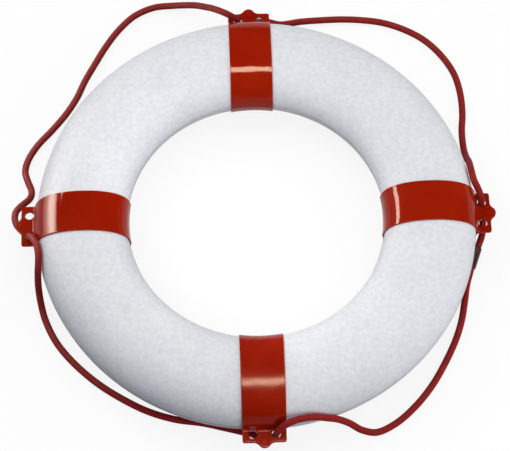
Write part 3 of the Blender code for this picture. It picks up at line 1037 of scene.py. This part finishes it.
@dataclass
class StrapClip:
    """A strap clip: a band round the section, whose two ends turn out into an eared leaf each."""

    material: bpy.types.Material
    width: float = 0.073
    edge_r: float = 0.0009
    ear_reach: float = 0.026
    corner_r: float = 0.004
    root_r: float = 0.004
    bump_r: float = 0.011
    bump_rise: float = 0.0095
    bump_fillet_r: float = 0.012
    bead_reach: float = 0.004
    settle_tall: float = 0.020
    rub_reach: float = 0.003
    rub_start: float = 0.8
    rim_wide: float = 0.0025
    rim_tall: float = 0.001
    rim_round: float = 0.0009
    rim_sunk: float = 0.0004
    rim_neck: float = 0.0007
    slit_round: float = 0.0003
    pad_d: float = 0.013
    pad_tall: float = 0.001
    pad_round: float = 0.0008
    pad_sunk: float = 0.0003
    cutter_over: float = 0.0009
    sharp_angle: float = radians(40)
    bend_steps: int = 10
    band_steps: int = 180
    leaf_steps: int = 10
    edge_steps: int = 6
    bump_steps: int = 14
    end_steps: int = 5
    corner_steps: int = 9
    corner_start: float = 0.15
    rim_steps: int = 72
    pad_steps: int = 60

    @property
    def half(self) -> float:
        """Return half the strap's width."""
        return self.width / 2

    @property
    def half_wall(self) -> float:
        """Return half the strap's thickness."""
        return RING.strap_wall / 2

    @property
    def end_r(self) -> float:
        """Return how far out the ear reaches, without its bump."""
        return RING.outer_r + self.ear_reach

    @property
    def leaf_z(self) -> float:
        """Return the height of a leaf's middle above the equator."""
        return RING.fit / 2 + self.half_wall

    @property
    def face_r(self) -> float:
        """Return the radius of the band's outer face where it turns out."""
        return RING.outer_r + RING.bead_out + RING.fit + RING.strap_wall

    @property
    def bump_x(self) -> float:
        """Return how far out the centre of the bump's arc lies."""
        return self.end_r + self.bump_rise - self.bump_r

    @property
    def hollow_x(self) -> float:
        """Return how far out the centre of the hollow arc beside the bump lies."""
        return self.end_r + self.bump_fillet_r

    @property
    def hollow_y(self) -> float:
        """Return the place across the ear where the hollow runs out into the straight end."""
        reach = self.bump_r + self.bump_fillet_r
        return sqrt(reach**2 - (self.hollow_x - self.bump_x) ** 2)

    @property
    def meet_y(self) -> float:
        """Return the place across the ear where the bump turns into the hollow."""
        return self.hollow_y * self.bump_r / (self.bump_r + self.bump_fillet_r)

    def tip(self, y: Array) -> Array:
        """Return how far out the ear's end lies at places across it.

        The middle is an arc, the bump. A hollow arc joins it to the straight end, and the end
        turns into the sides by a round corner.

        Args:
            y: Distances from the ear's middle line.

        Returns:
            The distances of the end from the ring's axis.
        """
        side = np.minimum(np.abs(y), self.half)
        bump = self.bump_x + np.sqrt(np.clip(self.bump_r**2 - side**2, 0.0, None))
        drop = np.clip(self.bump_fillet_r**2 - (self.hollow_y - side) ** 2, 0.0, None)
        hollow = self.hollow_x - np.sqrt(drop)
        past = np.clip(side - (self.half - self.corner_r), 0.0, self.corner_r)
        corner = self.end_r - self.corner_r + np.sqrt(self.corner_r**2 - past**2)
        return np.where(side < self.meet_y, bump, np.where(side < self.hollow_y, hollow, corner))

    def across(self) -> tuple[Array, Array]:
        """Return the strap's rounded cross-section.

        Its places are close together over the bump, the hollow and the corner, and apart over
        the straight end between them.

        Returns:
            The places across the strap and the places through its wall, in order round the section.
        """
        flat = self.half - self.edge_r
        turn = np.linspace(0.0, pi / 2, self.edge_steps)
        edge_y = self.half - self.edge_r * (1 - np.cos(turn))
        edge_n = self.half_wall - self.edge_r * (1 - np.sin(turn))
        corner_share = np.linspace(self.corner_start, 1.0, self.corner_steps)[:-1]
        corner = self.half - self.corner_r * (1 - np.sin(corner_share * pi / 2))
        corner = corner[corner < flat]
        over_bump = np.linspace(0.0, self.meet_y, self.bump_steps, endpoint=False)
        over_hollow = np.linspace(self.meet_y, self.hollow_y, self.bump_steps, endpoint=False)
        over_end = np.linspace(self.hollow_y, self.half - self.corner_r, self.end_steps)
        right = np.concatenate([over_bump, over_hollow, over_end, corner])
        top = np.concatenate([-right[:0:-1], right])
        y = np.concatenate([-edge_y, top, edge_y[::-1]])
        n = np.concatenate([edge_n, np.full_like(top, self.half_wall), edge_n[::-1]])
        return np.concatenate([y, y[::-1]]), np.concatenate([n, -n[::-1]])

    def path(self) -> dict[str, Array]:
        """Return the strap's middle surface as a path from the front leaf's tip to the rear's.

        It runs in along the leaf, round a quarter bend, and over the section at an even
        distance from the skin. The second half mirrors the first about the equator.

        Returns:
            For each row: radius, height, share of the way to the ear's end, distance short of
            that end, and the part of the wall's thickness that it has.
        """
        bend_r = self.root_r + self.half_wall
        bend_x = self.face_r + self.root_r
        round_off = np.linspace(0.0, pi / 2, self.edge_steps)
        leaf_share = np.linspace(1.0, 0.0, self.leaf_steps + 1)[1:-1]
        turn = np.linspace(0.0, pi / 2, self.bend_steps + 1)
        band_r, band_z = self.band()
        leaf_rows = np.ones(round_off.size + leaf_share.size)
        bent_r = bend_x - bend_r * np.sin(turn)
        bent_z = self.leaf_z + bend_r * (1 - np.cos(turn))
        radius = np.concatenate([leaf_rows * bend_x, bent_r, band_r])
        height = np.concatenate([leaf_rows * self.leaf_z, bent_z, band_z])
        plain = np.zeros(radius.size - leaf_rows.size)
        share = np.concatenate([np.ones_like(round_off), leaf_share, plain])
        rest = radius.size - round_off.size
        short = np.concatenate([self.edge_r * (1 - np.cos(round_off)), np.zeros(rest)])
        drop = self.edge_r / self.half_wall * (1 - np.sin(round_off))
        thin = np.concatenate([1 - drop, np.ones(rest)])
        half = {"radius": radius, "height": height, "share": share, "short": short, "thin": thin}
        back = slice(-2, None, -1)
        whole = {name: np.concatenate([value, value[back]]) for name, value in half.items()}
        whole["height"] = np.concatenate([height, -height[back]])
        return whole

    def band(self) -> tuple[Array, Array]:
        """Return the upper half of the band's middle, from the bend to the hole's equator.

        The section grown by the gap and half the wall is widened by a smooth step near the
        bend, and by a bell curve where the strap passes the weld's bead in the hole.

        Returns:
            The radii and the heights above the equator.
        """
        growth = RING.strap_gap + self.half_wall
        start_z = self.leaf_z + self.root_r + self.half_wall
        begin = np.arcsin((start_z / (RING.half_tall + growth)) ** (RING.power / 2))
        angle = np.linspace(begin, pi, self.band_steps // 2 + 1)[1:]
        radius, height = RING.section(angle, growth)
        start_r = RING.section(np.array([begin]), growth)[0][0]
        settled = smoothstep((height - start_z) / self.settle_tall)
        widen = (self.face_r - self.half_wall - start_r) * (1 - settled)
        pass_bead = RING.bead_out * np.exp(-((height / self.bead_reach) ** 2))
        outside = angle < pi / 2
        return radius + np.where(outside, widen, -pass_bead), height

    def surface(self) -> tuple[Surface, Array]:
        """Return the strap's surface on +X, and how near each point lies to an edge.

        The rounded cross-section is carried along the path, each point offset along the
        path's normal by its place in the wall. A band point at radius r and y across stands
        at the root of r squared less y squared. A leaf point lies a share of the way from
        there to the ear's end.

        Returns:
            The surface, and 1 at each point on an edge that falls to 0 away from it.
        """
        row = self.path()
        y, n = self.across()
        along = np.stack([np.gradient(row["radius"]), np.gradient(row["height"])])
        leaf = row["share"] > 0
        along[:, leaf] = np.array([[-1.0], [0.0]]) * np.sign(row["height"][leaf])
        length = np.maximum(np.hypot(*along), LEAST_STEP)
        out_r, out_z = along[1] / length, -along[0] / length
        depth = n[None, :] * row["thin"][:, None]
        radius = row["radius"][:, None] + depth * out_r[:, None]
        z = RING.equator_z + row["height"][:, None] + depth * out_z[:, None]
        width = np.broadcast_to(y, radius.shape)
        band_x = np.sqrt(radius**2 - width**2)
        end_x = self.tip(width) - self.edge_r
        x = band_x + row["share"][:, None] * (end_x - band_x)
        x = x + np.where(row["share"][:, None] == 1.0, self.edge_r - row["short"][:, None], 0.0)
        inward = np.maximum(self.half - np.abs(width), 0.0)
        edge = 1 - smoothstep(inward / self.rub_reach)
        near_end = smoothstep((row["share"] - self.rub_start) / (1 - self.rub_start))[:, None]
        return Surface(np.stack([x, width, z], axis=-1), caps=True), np.maximum(edge, near_end)

    def rim(self, up: int, y: float) -> bpy.types.Mesh:
        """Return the rim of one eye in one leaf, a round-topped ring through the leaf's wall.

        Args:
            up: 1 for the front leaf and -1 for the rear one.
            y: Where the eye's middle lies across the ear.

        Returns:
            The rim's mesh.
        """
        eye_r = EAR.eye_d / 2
        low = RING.fit / 2
        face = RING.leaf_face
        outer = eye_r + self.rim_wide
        neck = outer - self.rim_neck
        corners = [
            (eye_r, low, self.slit_round),
            (eye_r, face + self.rim_tall, self.rim_round),
            (outer, face + self.rim_tall, self.rim_round),
            (outer, face - self.rim_sunk, HIDDEN_ROUND),
            (neck, face - 2 * self.rim_sunk, HIDDEN_ROUND),
            (neck, low + self.rim_sunk, HIDDEN_ROUND),
        ]
        profile = rounded(corners)
        profile[:, 1] = RING.equator_z + up * profile[:, 1]
        return lathe(profile, (RING.outer_r + EAR.eye_out, y), self.rim_steps).mesh("eye_rim")

    def pad(self) -> bpy.types.Mesh:
        """Return the round pad on the front leaf over the rivet's blind end.

        Returns:
            The pad's mesh.
        """
        face = RING.equator_z + RING.leaf_face
        pad_r = self.pad_d / 2
        corners = [
            (AXIS_R, face + self.pad_tall, 0.0),
            (pad_r, face + self.pad_tall, self.pad_round),
            (pad_r, face - self.pad_sunk, HIDDEN_ROUND),
            (AXIS_R, face - self.pad_sunk, 0.0),
        ]
        centre = (RING.outer_r + EAR.rivet_out, 0.0)
        return lathe(rounded(corners), centre, self.pad_steps).mesh("rivet_pad")

    def cut_eyes(self, mesh: bpy.types.Mesh) -> bpy.types.Mesh:
        """Cut the holes that the eyes' rims line.

        Args:
            mesh: The strap's mesh.

        Returns:
            The mesh with its holes.
        """
        hole_r = EAR.eye_d / 2 + self.rim_wide / 2
        reach = RING.leaf_face + self.cutter_over
        profile = np.array([(AXIS_R, -reach), (hole_r, -reach), (hole_r, reach), (AXIS_R, reach)])
        profile[:, 1] += RING.equator_z
        strap = placed("strap_blank", mesh)
        cutters = []
        for side in (-1, 1):
            spot = (RING.outer_r + EAR.eye_out, side * EAR.eye_spread / 2)
            cutter = placed("eye_cutter", lathe(profile, spot, self.pad_steps).mesh("eye_cutter"))
            step = strap.modifiers.new("eye", "BOOLEAN")
            step.object = cutter
            step.solver = "EXACT"
            cutters.append(cutter)
        bpy.context.view_layer.update()
        cut = bpy.data.meshes.new_from_object(strap.evaluated_get(bpy.context.evaluated_depsgraph_get()))
        for helper in (strap, *cutters):
            bpy.data.objects.remove(helper)
        return cut

    def clip_mesh(self) -> bpy.types.Mesh:
        """Join the cut strap, its eyes' rims and its pad.

        Returns:
            The mesh of the whole clip on +X.
        """
        surface, edge = self.surface()
        blank = surface.mesh("strap_blank")
        store(blank, EDGE, edge)
        rims = [self.rim(up, side * EAR.eye_spread / 2) for up in (-1, 1) for side in (-1, 1)]
        clip = joined("strap_clip", [self.cut_eyes(blank), *rims, self.pad()])
        clip.shade_smooth()
        clip.set_sharp_from_angle(angle=self.sharp_angle)
        return clip

    def build(self) -> list[bpy.types.Object]:
        """Make and dress the clips of all four sides; the near one is rubbed dull.

        Returns:
            The four clips.
        """
        clip = self.clip_mesh()
        pieces = []
        for side in Side:
            mesh = clip.copy()
            mesh.transform(side.turn())
            if side is Side.NEAR:
                store(mesh, DULL, np.ones(len(mesh.vertices)))
            node = "strap_" + side.word
            pieces.append(dress(node + "_clip", mesh, self.material, Slot.STRAP, node))
        return pieces


@dataclass
class EarRivet:
    """The rivet that closes an ear from the rear, with its rounded head."""

    material: bpy.types.Material
    shank_d: float = 0.005
    head_d: float = 0.010
    head_tall: float = 0.0018
    tip_short: float = 0.0004
    tip_round: float = 0.0003
    seat_round: float = 0.0002
    rim_share: float = 0.6
    rim_round: float = 0.0005
    crown_share: float = 0.55
    crown_round: float = 0.0012
    steps: int = 48

    def build(self) -> list[bpy.types.Object]:
        """Make and dress the rivets of all four ears.

        Returns:
            The four rivets.
        """
        head_top = RING.equator_z - RING.leaf_face - RING.fit
        low = head_top - self.head_tall
        head_r = self.head_d / 2
        shank_r = self.shank_d / 2
        tip = RING.equator_z + RING.leaf_face - self.tip_short
        corners = [
            (AXIS_R, tip, 0.0),
            (shank_r, tip, self.tip_round),
            (shank_r, head_top, HIDDEN_ROUND),
            (head_r, head_top, self.seat_round),
            (head_r, low + self.head_tall * self.rim_share, self.rim_round),
            (head_r * self.crown_share, low, self.crown_round),
            (AXIS_R, low, 0.0),
        ]
        profile = rounded(corners)
        pieces = []
        for side in Side:
            reach = RING.outer_r + EAR.rivet_out
            centre = (reach * cos(side.value), reach * sin(side.value))
            node = "rivet_" + side.word
            mesh = lathe(profile, centre, self.steps).mesh(node)
            pieces.append(dress(node + "_turned", mesh, self.material, Slot.STRAP, node))
        return pieces


@dataclass
class Stretch:
    """One stretch of the grab line, from the eye of one ear to the eye of the next."""

    start: Side
    stop: Side
    route: list[tuple[float, float, float]]
    nodes: tuple[str, ...]
    sleeved: bool = False
    diameter: float = 0.012
    lean: float = radians(12)
    straight: float = 0.008
    sleeve_at: float = 0.098
    sleeve_length: float = 0.040
    curve_steps: int = 60

    @property
    def name(self) -> str:
        """Return the stretch's plain name."""
        return f"grab_line_{self.start.word}_to_{self.stop.word}"

    def eye_pass(self, side: Side) -> tuple[Array, Array]:
        """Return how the line goes down through an ear's eye.

        Args:
            side: The ear's side.

        Returns:
            The point in the eye's middle, and the line's direction there.
        """
        outward = np.array([cos(side.value), sin(side.value), 0.0])
        along = np.array([sin(side.value), -cos(side.value), 0.0])
        spot = outward * (RING.outer_r + EAR.eye_out) - along * EAR.eye_spread / 2
        spot[2] = RING.equator_z
        return spot, along * sin(self.lean) - np.array([0.0, 0.0, cos(self.lean)])

    def controls(self) -> Array:
        """Return the points that the line's middle passes through.

        Each route point stands at its angle, at the ring's outer radius plus its distance
        outside, and at its share of the height between the floor and the eyes.

        Returns:
            The points, from eye to eye.
        """
        rest_z = self.diameter / 2 + RING.fit
        turn, outside, rise = np.array(self.route).T
        turn = np.radians(turn)
        reach = RING.outer_r + outside
        height = rest_z + rise * (RING.equator_z - rest_z)
        middle = np.stack([reach * np.cos(turn), reach * np.sin(turn), height], axis=1)
        start, start_way = self.eye_pass(self.start)
        stop, stop_way = self.eye_pass(self.stop)
        ends = [start, start + start_way * self.straight, stop - stop_way * self.straight, stop]
        return np.vstack([ends[0], ends[1], middle, ends[2], ends[3]])

    def smooth_path(self) -> Array:
        """Return close points on the line's middle.

        A centripetal Catmull-Rom curve runs through the controls: each span blends its four
        neighbouring points three times over, with knots spaced by the root of their distance.

        Returns:
            The points, from eye to eye.
        """
        points = self.controls()
        a, b, c, d = (points[k : len(points) - 3 + k][:, None, :] for k in range(4))
        knots = [np.zeros((len(a), 1, 1))]
        for near, far in ((a, b), (b, c), (c, d)):
            knots.append(knots[-1] + np.sqrt(np.linalg.norm(far - near, axis=2, keepdims=True)))
        t0, t1, t2, t3 = knots
        t = t1 + (t2 - t1) * (np.arange(self.curve_steps) / self.curve_steps)[None, :, None]

        def blend(low: Array, high: Array, start: Array, stop: Array) -> Array:
            """Return the point between two others at the knot value."""
            return (low * (stop - t) + high * (t - start)) / (stop - start)

        ab, bc, cd = blend(a, b, t0, t1), blend(b, c, t1, t2), blend(c, d, t2, t3)
        curve = blend(blend(ab, bc, t0, t2), blend(bc, cd, t1, t3), t1, t2).reshape(-1, 3)
        lead = RING.fit / 2 / self.straight
        lead_in = points[0] + (points[1] - points[0]) * lead
        lead_out = points[-1] + (points[-2] - points[-1]) * lead
        return np.vstack([lead_in, curve, points[-2], lead_out])

    def path(self, step: float) -> Array:
        """Return points an even step apart along the line, straight inside its sleeve.

        Args:
            step: The step, which is rounded so that whole steps fill the line.

        Returns:
            The points, from eye to eye.
        """
        curve = self.smooth_path()
        run = run_along(curve)
        if self.sleeved:
            half = (self.sleeve_length + self.diameter / 2) / 2
            curve = curve[np.abs(run - self.sleeve_at - self.straight) > half]
            run = run_along(curve)
        count = int(round(run[-1] / step))
        spots = np.linspace(0.0, run[-1], count + 1)
        return points_at(spots, curve, run)


def path_frame(points: Array) -> tuple[Array, Array]:
    """Return two directions across a path at each point.

    The first is the outward direction from the ring's axis, with its part along the path taken
    off. The second is square to both.

    Args:
        points: Points along the path.

    Returns:
        The first direction and the second, one a row.
    """
    way = unit(np.gradient(points, axis=0))
    outward = unit(points * np.array([1.0, 1.0, 0.0]))
    side = unit(outward - way * np.einsum("ij,ij->i", outward, way)[:, None])
    return side, np.cross(way, side)


def tube(points: Array, radius: Array) -> Surface:
    """Return a closed tube round a path.

    Each row of the tube stands on a point of the path, and each of its points lies at the
    radius given for it, at an even step round.

    Args:
        points: Points along the path.
        radius: The radius of each of the tube's points, rows along the path.

    Returns:
        The tube.
    """
    columns = radius.shape[1]
    side, up = path_frame(points)
    turn = turns(columns, 0.5)
    spoke = np.cos(turn)[None, :, None] * side[:, None, :] + np.sin(turn)[None, :, None] * up[:, None, :]
    return Surface(points[:, None, :] + radius[:, :, None] * spoke, caps=True)


@dataclass
class ShrunkSleeve:
    """The shrunk sleeve over the line's joint."""

    material: bpy.types.Material
    wall: float = 0.0013
    end_wall: float = 0.0001
    shoulder: float = 0.12
    ring_tall: float = 0.00010
    ring_pitch: float = 0.0041
    lump_tall: float = 0.00008
    lumps: int = 3
    lump_twist: float = 40.0
    rows: int = 90
    steps: int = 60

    def build(self, stretch: Stretch, points: Array, run: Array) -> bpy.types.Object:
        """Make and dress the sleeve.

        Its radius is the line's plus its wall, drawn in to the line at both ends by a root
        curve, with slight rings where it shrank unevenly.

        Args:
            stretch: The stretch that carries the sleeve.
            points: Points along the stretch.
            run: The distance along the stretch at each point.

        Returns:
            The sleeve.
        """
        half = stretch.sleeve_length / 2
        middle = stretch.sleeve_at + stretch.straight
        spots = np.linspace(-half, half, self.rows)
        path = points_at(middle + spots, points, run)
        share = np.clip(1 - np.abs(spots) / half, 0.0, 1.0)
        shoulder = np.sqrt(np.minimum(share / self.shoulder, 1.0))
        rings = self.ring_tall * np.sin(2 * pi * spots / self.ring_pitch) * np.sin(pi * share)
        wall = self.end_wall + self.wall * shoulder + rings
        turn = turns(self.steps)
        twist = self.lump_twist * spots[:, None] / half
        lumps = self.lump_tall * np.sin(self.lumps * turn[None, :] + twist)
        radius = stretch.diameter / 2 + wall[:, None] + lumps * shoulder[:, None]
        mesh = tube(path, radius).mesh("line_sleeve_shrunk")
        return dress("line_sleeve_shrunk", mesh, self.material, Slot.SLEEVE, "line_sleeve")


@dataclass
class GrabLine:
    """The braided grab line in its four slack stretches, and the sleeve over its joint."""

    fibre: bpy.types.Material
    sleeve: ShrunkSleeve
    stretches: list[Stretch]
    strands: int = 8
    strand_pitch: float = 0.040
    relief: float = 0.00048
    swell: float = 0.45
    step: float = 0.00062
    round_steps: int = 64

    def strand_places(self, run: Array, turn: Array) -> tuple[Array, Array]:
        """Return the coordinates of the two sets of strands, which count strands.

        One set winds one way round and the other the other way: each coordinate is the turn
        plus or minus the winding at that distance, in strands a full turn.

        Args:
            run: Distances along the line.
            turn: Angles round the line.

        Returns:
            The coordinates of the one set and of the other, rows along the line.
        """
        wound = 2 * pi * run[:, None] / self.strand_pitch
        scale = self.strands / (2 * pi)
        return (turn[None, :] + wound) * scale, (turn[None, :] - wound) * scale

    def radius(self, stretch: Stretch, run: Array) -> Array:
        """Return the line's radius over its grid.

        Where the two sets cross, each passes over the other by turns, as on a chessboard. The
        upper strand stands up by a rounded ridge across it that swells at its middle.

        Args:
            stretch: The stretch.
            run: Distances along it.

        Returns:
            The radii, rows along the line.
        """
        turn = turns(self.round_steps, 0.5)
        first, second = self.strand_places(run, turn)
        over = (np.floor(first) + np.floor(second)) % 2 == 0
        across = np.where(over, first, second) % 1.0
        lengthwise = np.where(over, second, first) % 1.0
        ridge = np.sqrt(np.clip(np.sin(pi * across), 0.0, 1.0))
        swell = 1 - self.swell * (1 - np.sin(pi * lengthwise))
        return stretch.diameter / 2 - self.relief * (1 - ridge * swell)

    def build_stretch(self, stretch: Stretch) -> bpy.types.Object:
        """Make and dress one stretch, and its sleeve where it has one.

        Args:
            stretch: The stretch.

        Returns:
            The stretch as a piece.
        """
        points = stretch.path(self.step)
        run = run_along(points)
        surface = tube(points, self.radius(stretch, run))
        turn = np.arange(self.round_steps + 1) * 2 * pi / self.round_steps
        edge_turn = turn + pi / self.round_steps
        mesh = surface.mesh(stretch.name, self.strand_places(run, edge_turn))
        piece = dress(stretch.name, mesh, self.fibre, Slot.LINE, *stretch.nodes)
        extras = [self.sleeve.build(stretch, points, run)] if stretch.sleeved else []
        exit_spot, _ = stretch.eye_pass(stretch.start)
        log.info("%s: %.0f mm long", stretch.name, run[-1] / MILLIMETRE)
        return piece

    def build(self) -> list[bpy.types.Object]:
        """Make all stretches."""
        return [self.build_stretch(stretch) for stretch in self.stretches]


@dataclass
class PhotoCamera:
    """The camera that sees the ring as the photograph does."""

    distance: float = 4.1
    elevation: float = radians(65.677)
    azimuth: float = radians(-2.531)
    roll: float = radians(0.582)
    lens: float = 169.3
    shift_x: float = -0.00245
    shift_y: float = -0.0110
    clip_end: float = 50.0

    def build(self) -> bpy.types.Object:
        """Place the camera, looking at the ring's centre, and make it the scene's own.

        Returns:
            The camera.
        """
        back = Vector(
            (
                sin(self.azimuth) * cos(self.elevation),
                -cos(self.azimuth) * cos(self.elevation),
                sin(self.elevation),
            )
        )
        right = Vector((cos(self.azimuth), sin(self.azimuth), 0.0))
        up = back.cross(right)
        x_axis = right * cos(self.roll) + up * sin(self.roll)
        y_axis = up * cos(self.roll) - right * sin(self.roll)
        data = bpy.data.cameras.new("photo_camera")
        data.lens = self.lens
        data.shift_x = self.shift_x
        data.shift_y = self.shift_y
        data.clip_end = self.clip_end
        camera = placed("photo_camera", data)
        spot = Vector((0.0, 0.0, RING.equator_z)) + back * self.distance
        turn = Matrix((x_axis, y_axis, back)).transposed().to_4x4()
        camera.matrix_world = Matrix.Translation(spot) @ turn
        bpy.context.scene.camera = camera
        return camera


@dataclass(frozen=True)
class Lamp:
    """A rectangular lamp: its place, the way it shines, its size and what it is for.

    Its size is its width along the level and its size across that. A glint lamp is seen by
    reflections alone and makes the highlights, and any other lamp makes the even light.
    """

    name: str
    spot: tuple[float, float, float]
    way: tuple[float, float, float]
    size: tuple[float, float]
    power: float
    colour: tuple[float, float, float] = WHITE
    glint: bool = False

    def hang(self) -> bpy.types.Object:
        """Hang the lamp.

        Returns:
            The lamp in its place.
        """
        data = bpy.data.lights.new(self.name, "AREA")
        data.shape = "RECTANGLE"
        data.size, data.size_y = self.size
        data.energy = self.power
        data.color = self.colour
        lamp = placed(self.name, data)
        back = -Vector(self.way).normalized()
        level = Vector((0.0, 0.0, 1.0)).cross(back)
        level = level.normalized() if level.length > LEAST_LEVEL else Vector((1.0, 0.0, 0.0))
        turn = Matrix((level, back.cross(level), back)).transposed().to_4x4()
        lamp.matrix_world = Matrix.Translation(self.spot) @ turn
        lamp.visible_camera = False
        lamp.visible_diffuse = not self.glint
        lamp.visible_glossy = self.glint
        return lamp


LAMPS = [
    Lamp("far_left_softbox", (-1.5, 1.2, 1.9), (1.0, -0.8, -1.2), (1.4, 1.4), 13.0),
    Lamp("near_right_fill", (1.7, -1.2, 0.6), (-1.0, 0.7, -0.3), (1.2, 0.9), 12.0),
    Lamp("hole_fill", (-0.12, -0.12, 0.26), (0.7, 0.7, -0.15), (0.30, 0.12), 0.45),
    Lamp("overhead_glint", (0.06, -0.18, 3.30), (0.0, 0.0, -1.0), (0.66, 0.61), 81.0, WARM, True),
    Lamp("right_strap_glint", (-0.60, 0.415, 0.408), (1.0, 0.0, 0.0), (0.30, 0.223), 9.8, MILD, True),
]


@dataclass
class Studio:
    """The white floor, the dark ceiling, the lamps and the pale surroundings."""

    floor_half: float = 6.0
    ceiling_half: float = 60.0
    ceiling_z: float = 3.4
    ceiling_black: tuple = (0.01, 0.01, 0.01)
    floor_grey: tuple = (0.10, 0.105, 0.12)
    floor_white: float = 0.85
    zenith: float = 0.95
    horizon: float = 0.76
    shade_way: tuple = (-0.50, -0.865, -0.05)
    shade_start: float = 0.32
    shade_full: float = 0.88
    shade_depth: float = 0.95
    shade_colour: tuple = (0.72, 0.80, 1.0)
    glint_spot: tuple = (-0.60, 0.135, 0.086)
    glint_size: tuple = (0.23, 0.0395)
    glint_power: float = 1.72
    glint_shares: tuple = (0.08, 0.20, 0.42, 0.90, 1.0, 0.92, 0.48)

    def surroundings(self) -> None:
        """Light the scene softly from all round, and show white behind it.

        The soft light is brighter low down than overhead, and falls off to a bluish shade
        towards the near left.
        """
        world = bpy.data.worlds.new("pale_studio")
        bpy.context.scene.world = world
        world.use_nodes = True
        book = NodeBook(world.node_tree)
        way = book.add("TexCoord").outputs["Generated"]
        _, _, upward = book.parts(way)
        level = book.span(upward, WHOLE, (self.horizon, self.zenith))
        towards = book.add("VectorMath", {0: way, 1: self.shade_way}, operation="DOT_PRODUCT")
        shade_range = (self.shade_start, self.shade_full)
        shade = book.span(towards.outputs["Value"], shade_range, (0.0, self.shade_depth))
        colour = book.tint(shade, WHITE, self.shade_colour)
        strength = book.sum("MULTIPLY", level, book.sum("SUBTRACT", 1.0, shade))
        soft = book.add("Background", {"Color": colour, "Strength": strength}).outputs[0]
        shown = book.whitened("Background", book.white_share(), soft)
        book.feed(world.node_tree.nodes["World Output"], "Surface", shown)

    def plane(self, name: str, half: float, z: float) -> bpy.types.Object:
        """Lay a level square that isn't part of the object.

        Args:
            name: The square's name.
            half: Half its side.
            z: Its height.

        Returns:
            The square.
        """
        mesh = bpy.data.meshes.new(name)
        corners = [(-half, -half, z), (half, -half, z), (half, half, z), (-half, half, z)]
        mesh.from_pydata(corners, [], [(0, 1, 2, 3)])
        piece = placed(name, mesh)
        return piece

    def floor(self) -> bpy.types.Object:
        """Lay the floor: pale grey to the light, white to the camera, with the ring's shadow.

        Returns:
            The floor.
        """
        floor = self.plane("white_floor", self.floor_half, 0.0)
        book = FinishBook("white_floor_paper")
        white = book.white_share()
        share = book.sum("MULTIPLY", white, self.floor_white)
        book.feed(book.output, "Surface", book.whitened("Emission", share, book.shader.outputs[0]))
        colour = book.tint(white, self.floor_grey, WHITE)
        floor.data.materials.append(book.finish(Base_Color=colour, Roughness=1.0, Specular_IOR_Level=0.0))
        return floor

    def dark_ceiling(self) -> bpy.types.Object:
        """Hang a dark ceiling that only reflections see, so that gloss keeps its depth.

        Returns:
            The ceiling.
        """
        ceiling = self.plane("dark_ceiling", self.ceiling_half, self.ceiling_z)
        book = FinishBook("dark_ceiling_cloth")
        ceiling.data.materials.append(book.finish(Base_Color=(*self.ceiling_black, 1.0), Roughness=1.0))
        ceiling.visible_camera = False
        ceiling.visible_diffuse = False
        ceiling.visible_shadow = False
        return ceiling

    def left_glints(self) -> None:
        """Hang the rows of lamps whose highlight on the left strap fades towards its ear."""
        wide, tall = self.glint_size
        x, y, low = self.glint_spot
        for step, share in enumerate(self.glint_shares):
            spot = (x, y, low + tall * (step + 0.5))
            power = self.glint_power * share
            Lamp(f"left_glint_{step}", spot, (1.0, 0.0, 0.0), (wide, tall), power, MILD, True).hang()

    def build(self) -> None:
        """Set up floor, surroundings and lamps."""
        self.surroundings()
        self.floor()
        self.dark_ceiling()
        self.left_glints()
        for lamp in LAMPS:
            lamp.hang()


def main() -> None:
    """Build the camera, the line and all other pieces, in that order."""
    logging.basicConfig(level=logging.INFO, format="%(name)s: %(message)s")
    bpy.context.scene.view_settings.view_transform = "Standard"
    PhotoCamera().build()
    fibre = BraidFibre().material()
    sleeve = ShrunkSleeve(SleevePlastic().material())
    sleeved_nodes = ("line_right_to_sleeve", "line_sleeve_to_near")
    stretches = [
        Stretch(Side.FAR, Side.RIGHT, ROUTE_FAR_TO_RIGHT, ("line_far_to_right",)),
        Stretch(Side.RIGHT, Side.NEAR, ROUTE_RIGHT_TO_NEAR, sleeved_nodes, sleeved=True),
        Stretch(Side.NEAR, Side.LEFT, ROUTE_NEAR_TO_LEFT, ("line_near_to_left",)),
        Stretch(Side.LEFT, Side.FAR, ROUTE_LEFT_TO_FAR, ("line_left_to_far",)),
    ]
    GrabLine(fibre, sleeve, stretches).build()
    white = ShellPlastic().material()
    ShellHalf(front=True, material=white).build()
    ShellHalf(front=False, material=white).build()
    PortPlug("fill_plug", head_d=0.022, angle=radians(-45), material=white).build()
    PortPlug("vent_plug", head_d=0.013, angle=radians(135), material=white).build()
    red = StrapPlastic().material()
    StrapClip(red).build()
    EarRivet(red).build()
    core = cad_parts["foam_core"]
    core.data.materials.clear()
    core.data.materials.append(FoamCells().material())
    Studio().build()


if __name__ == "__main__":
    main()
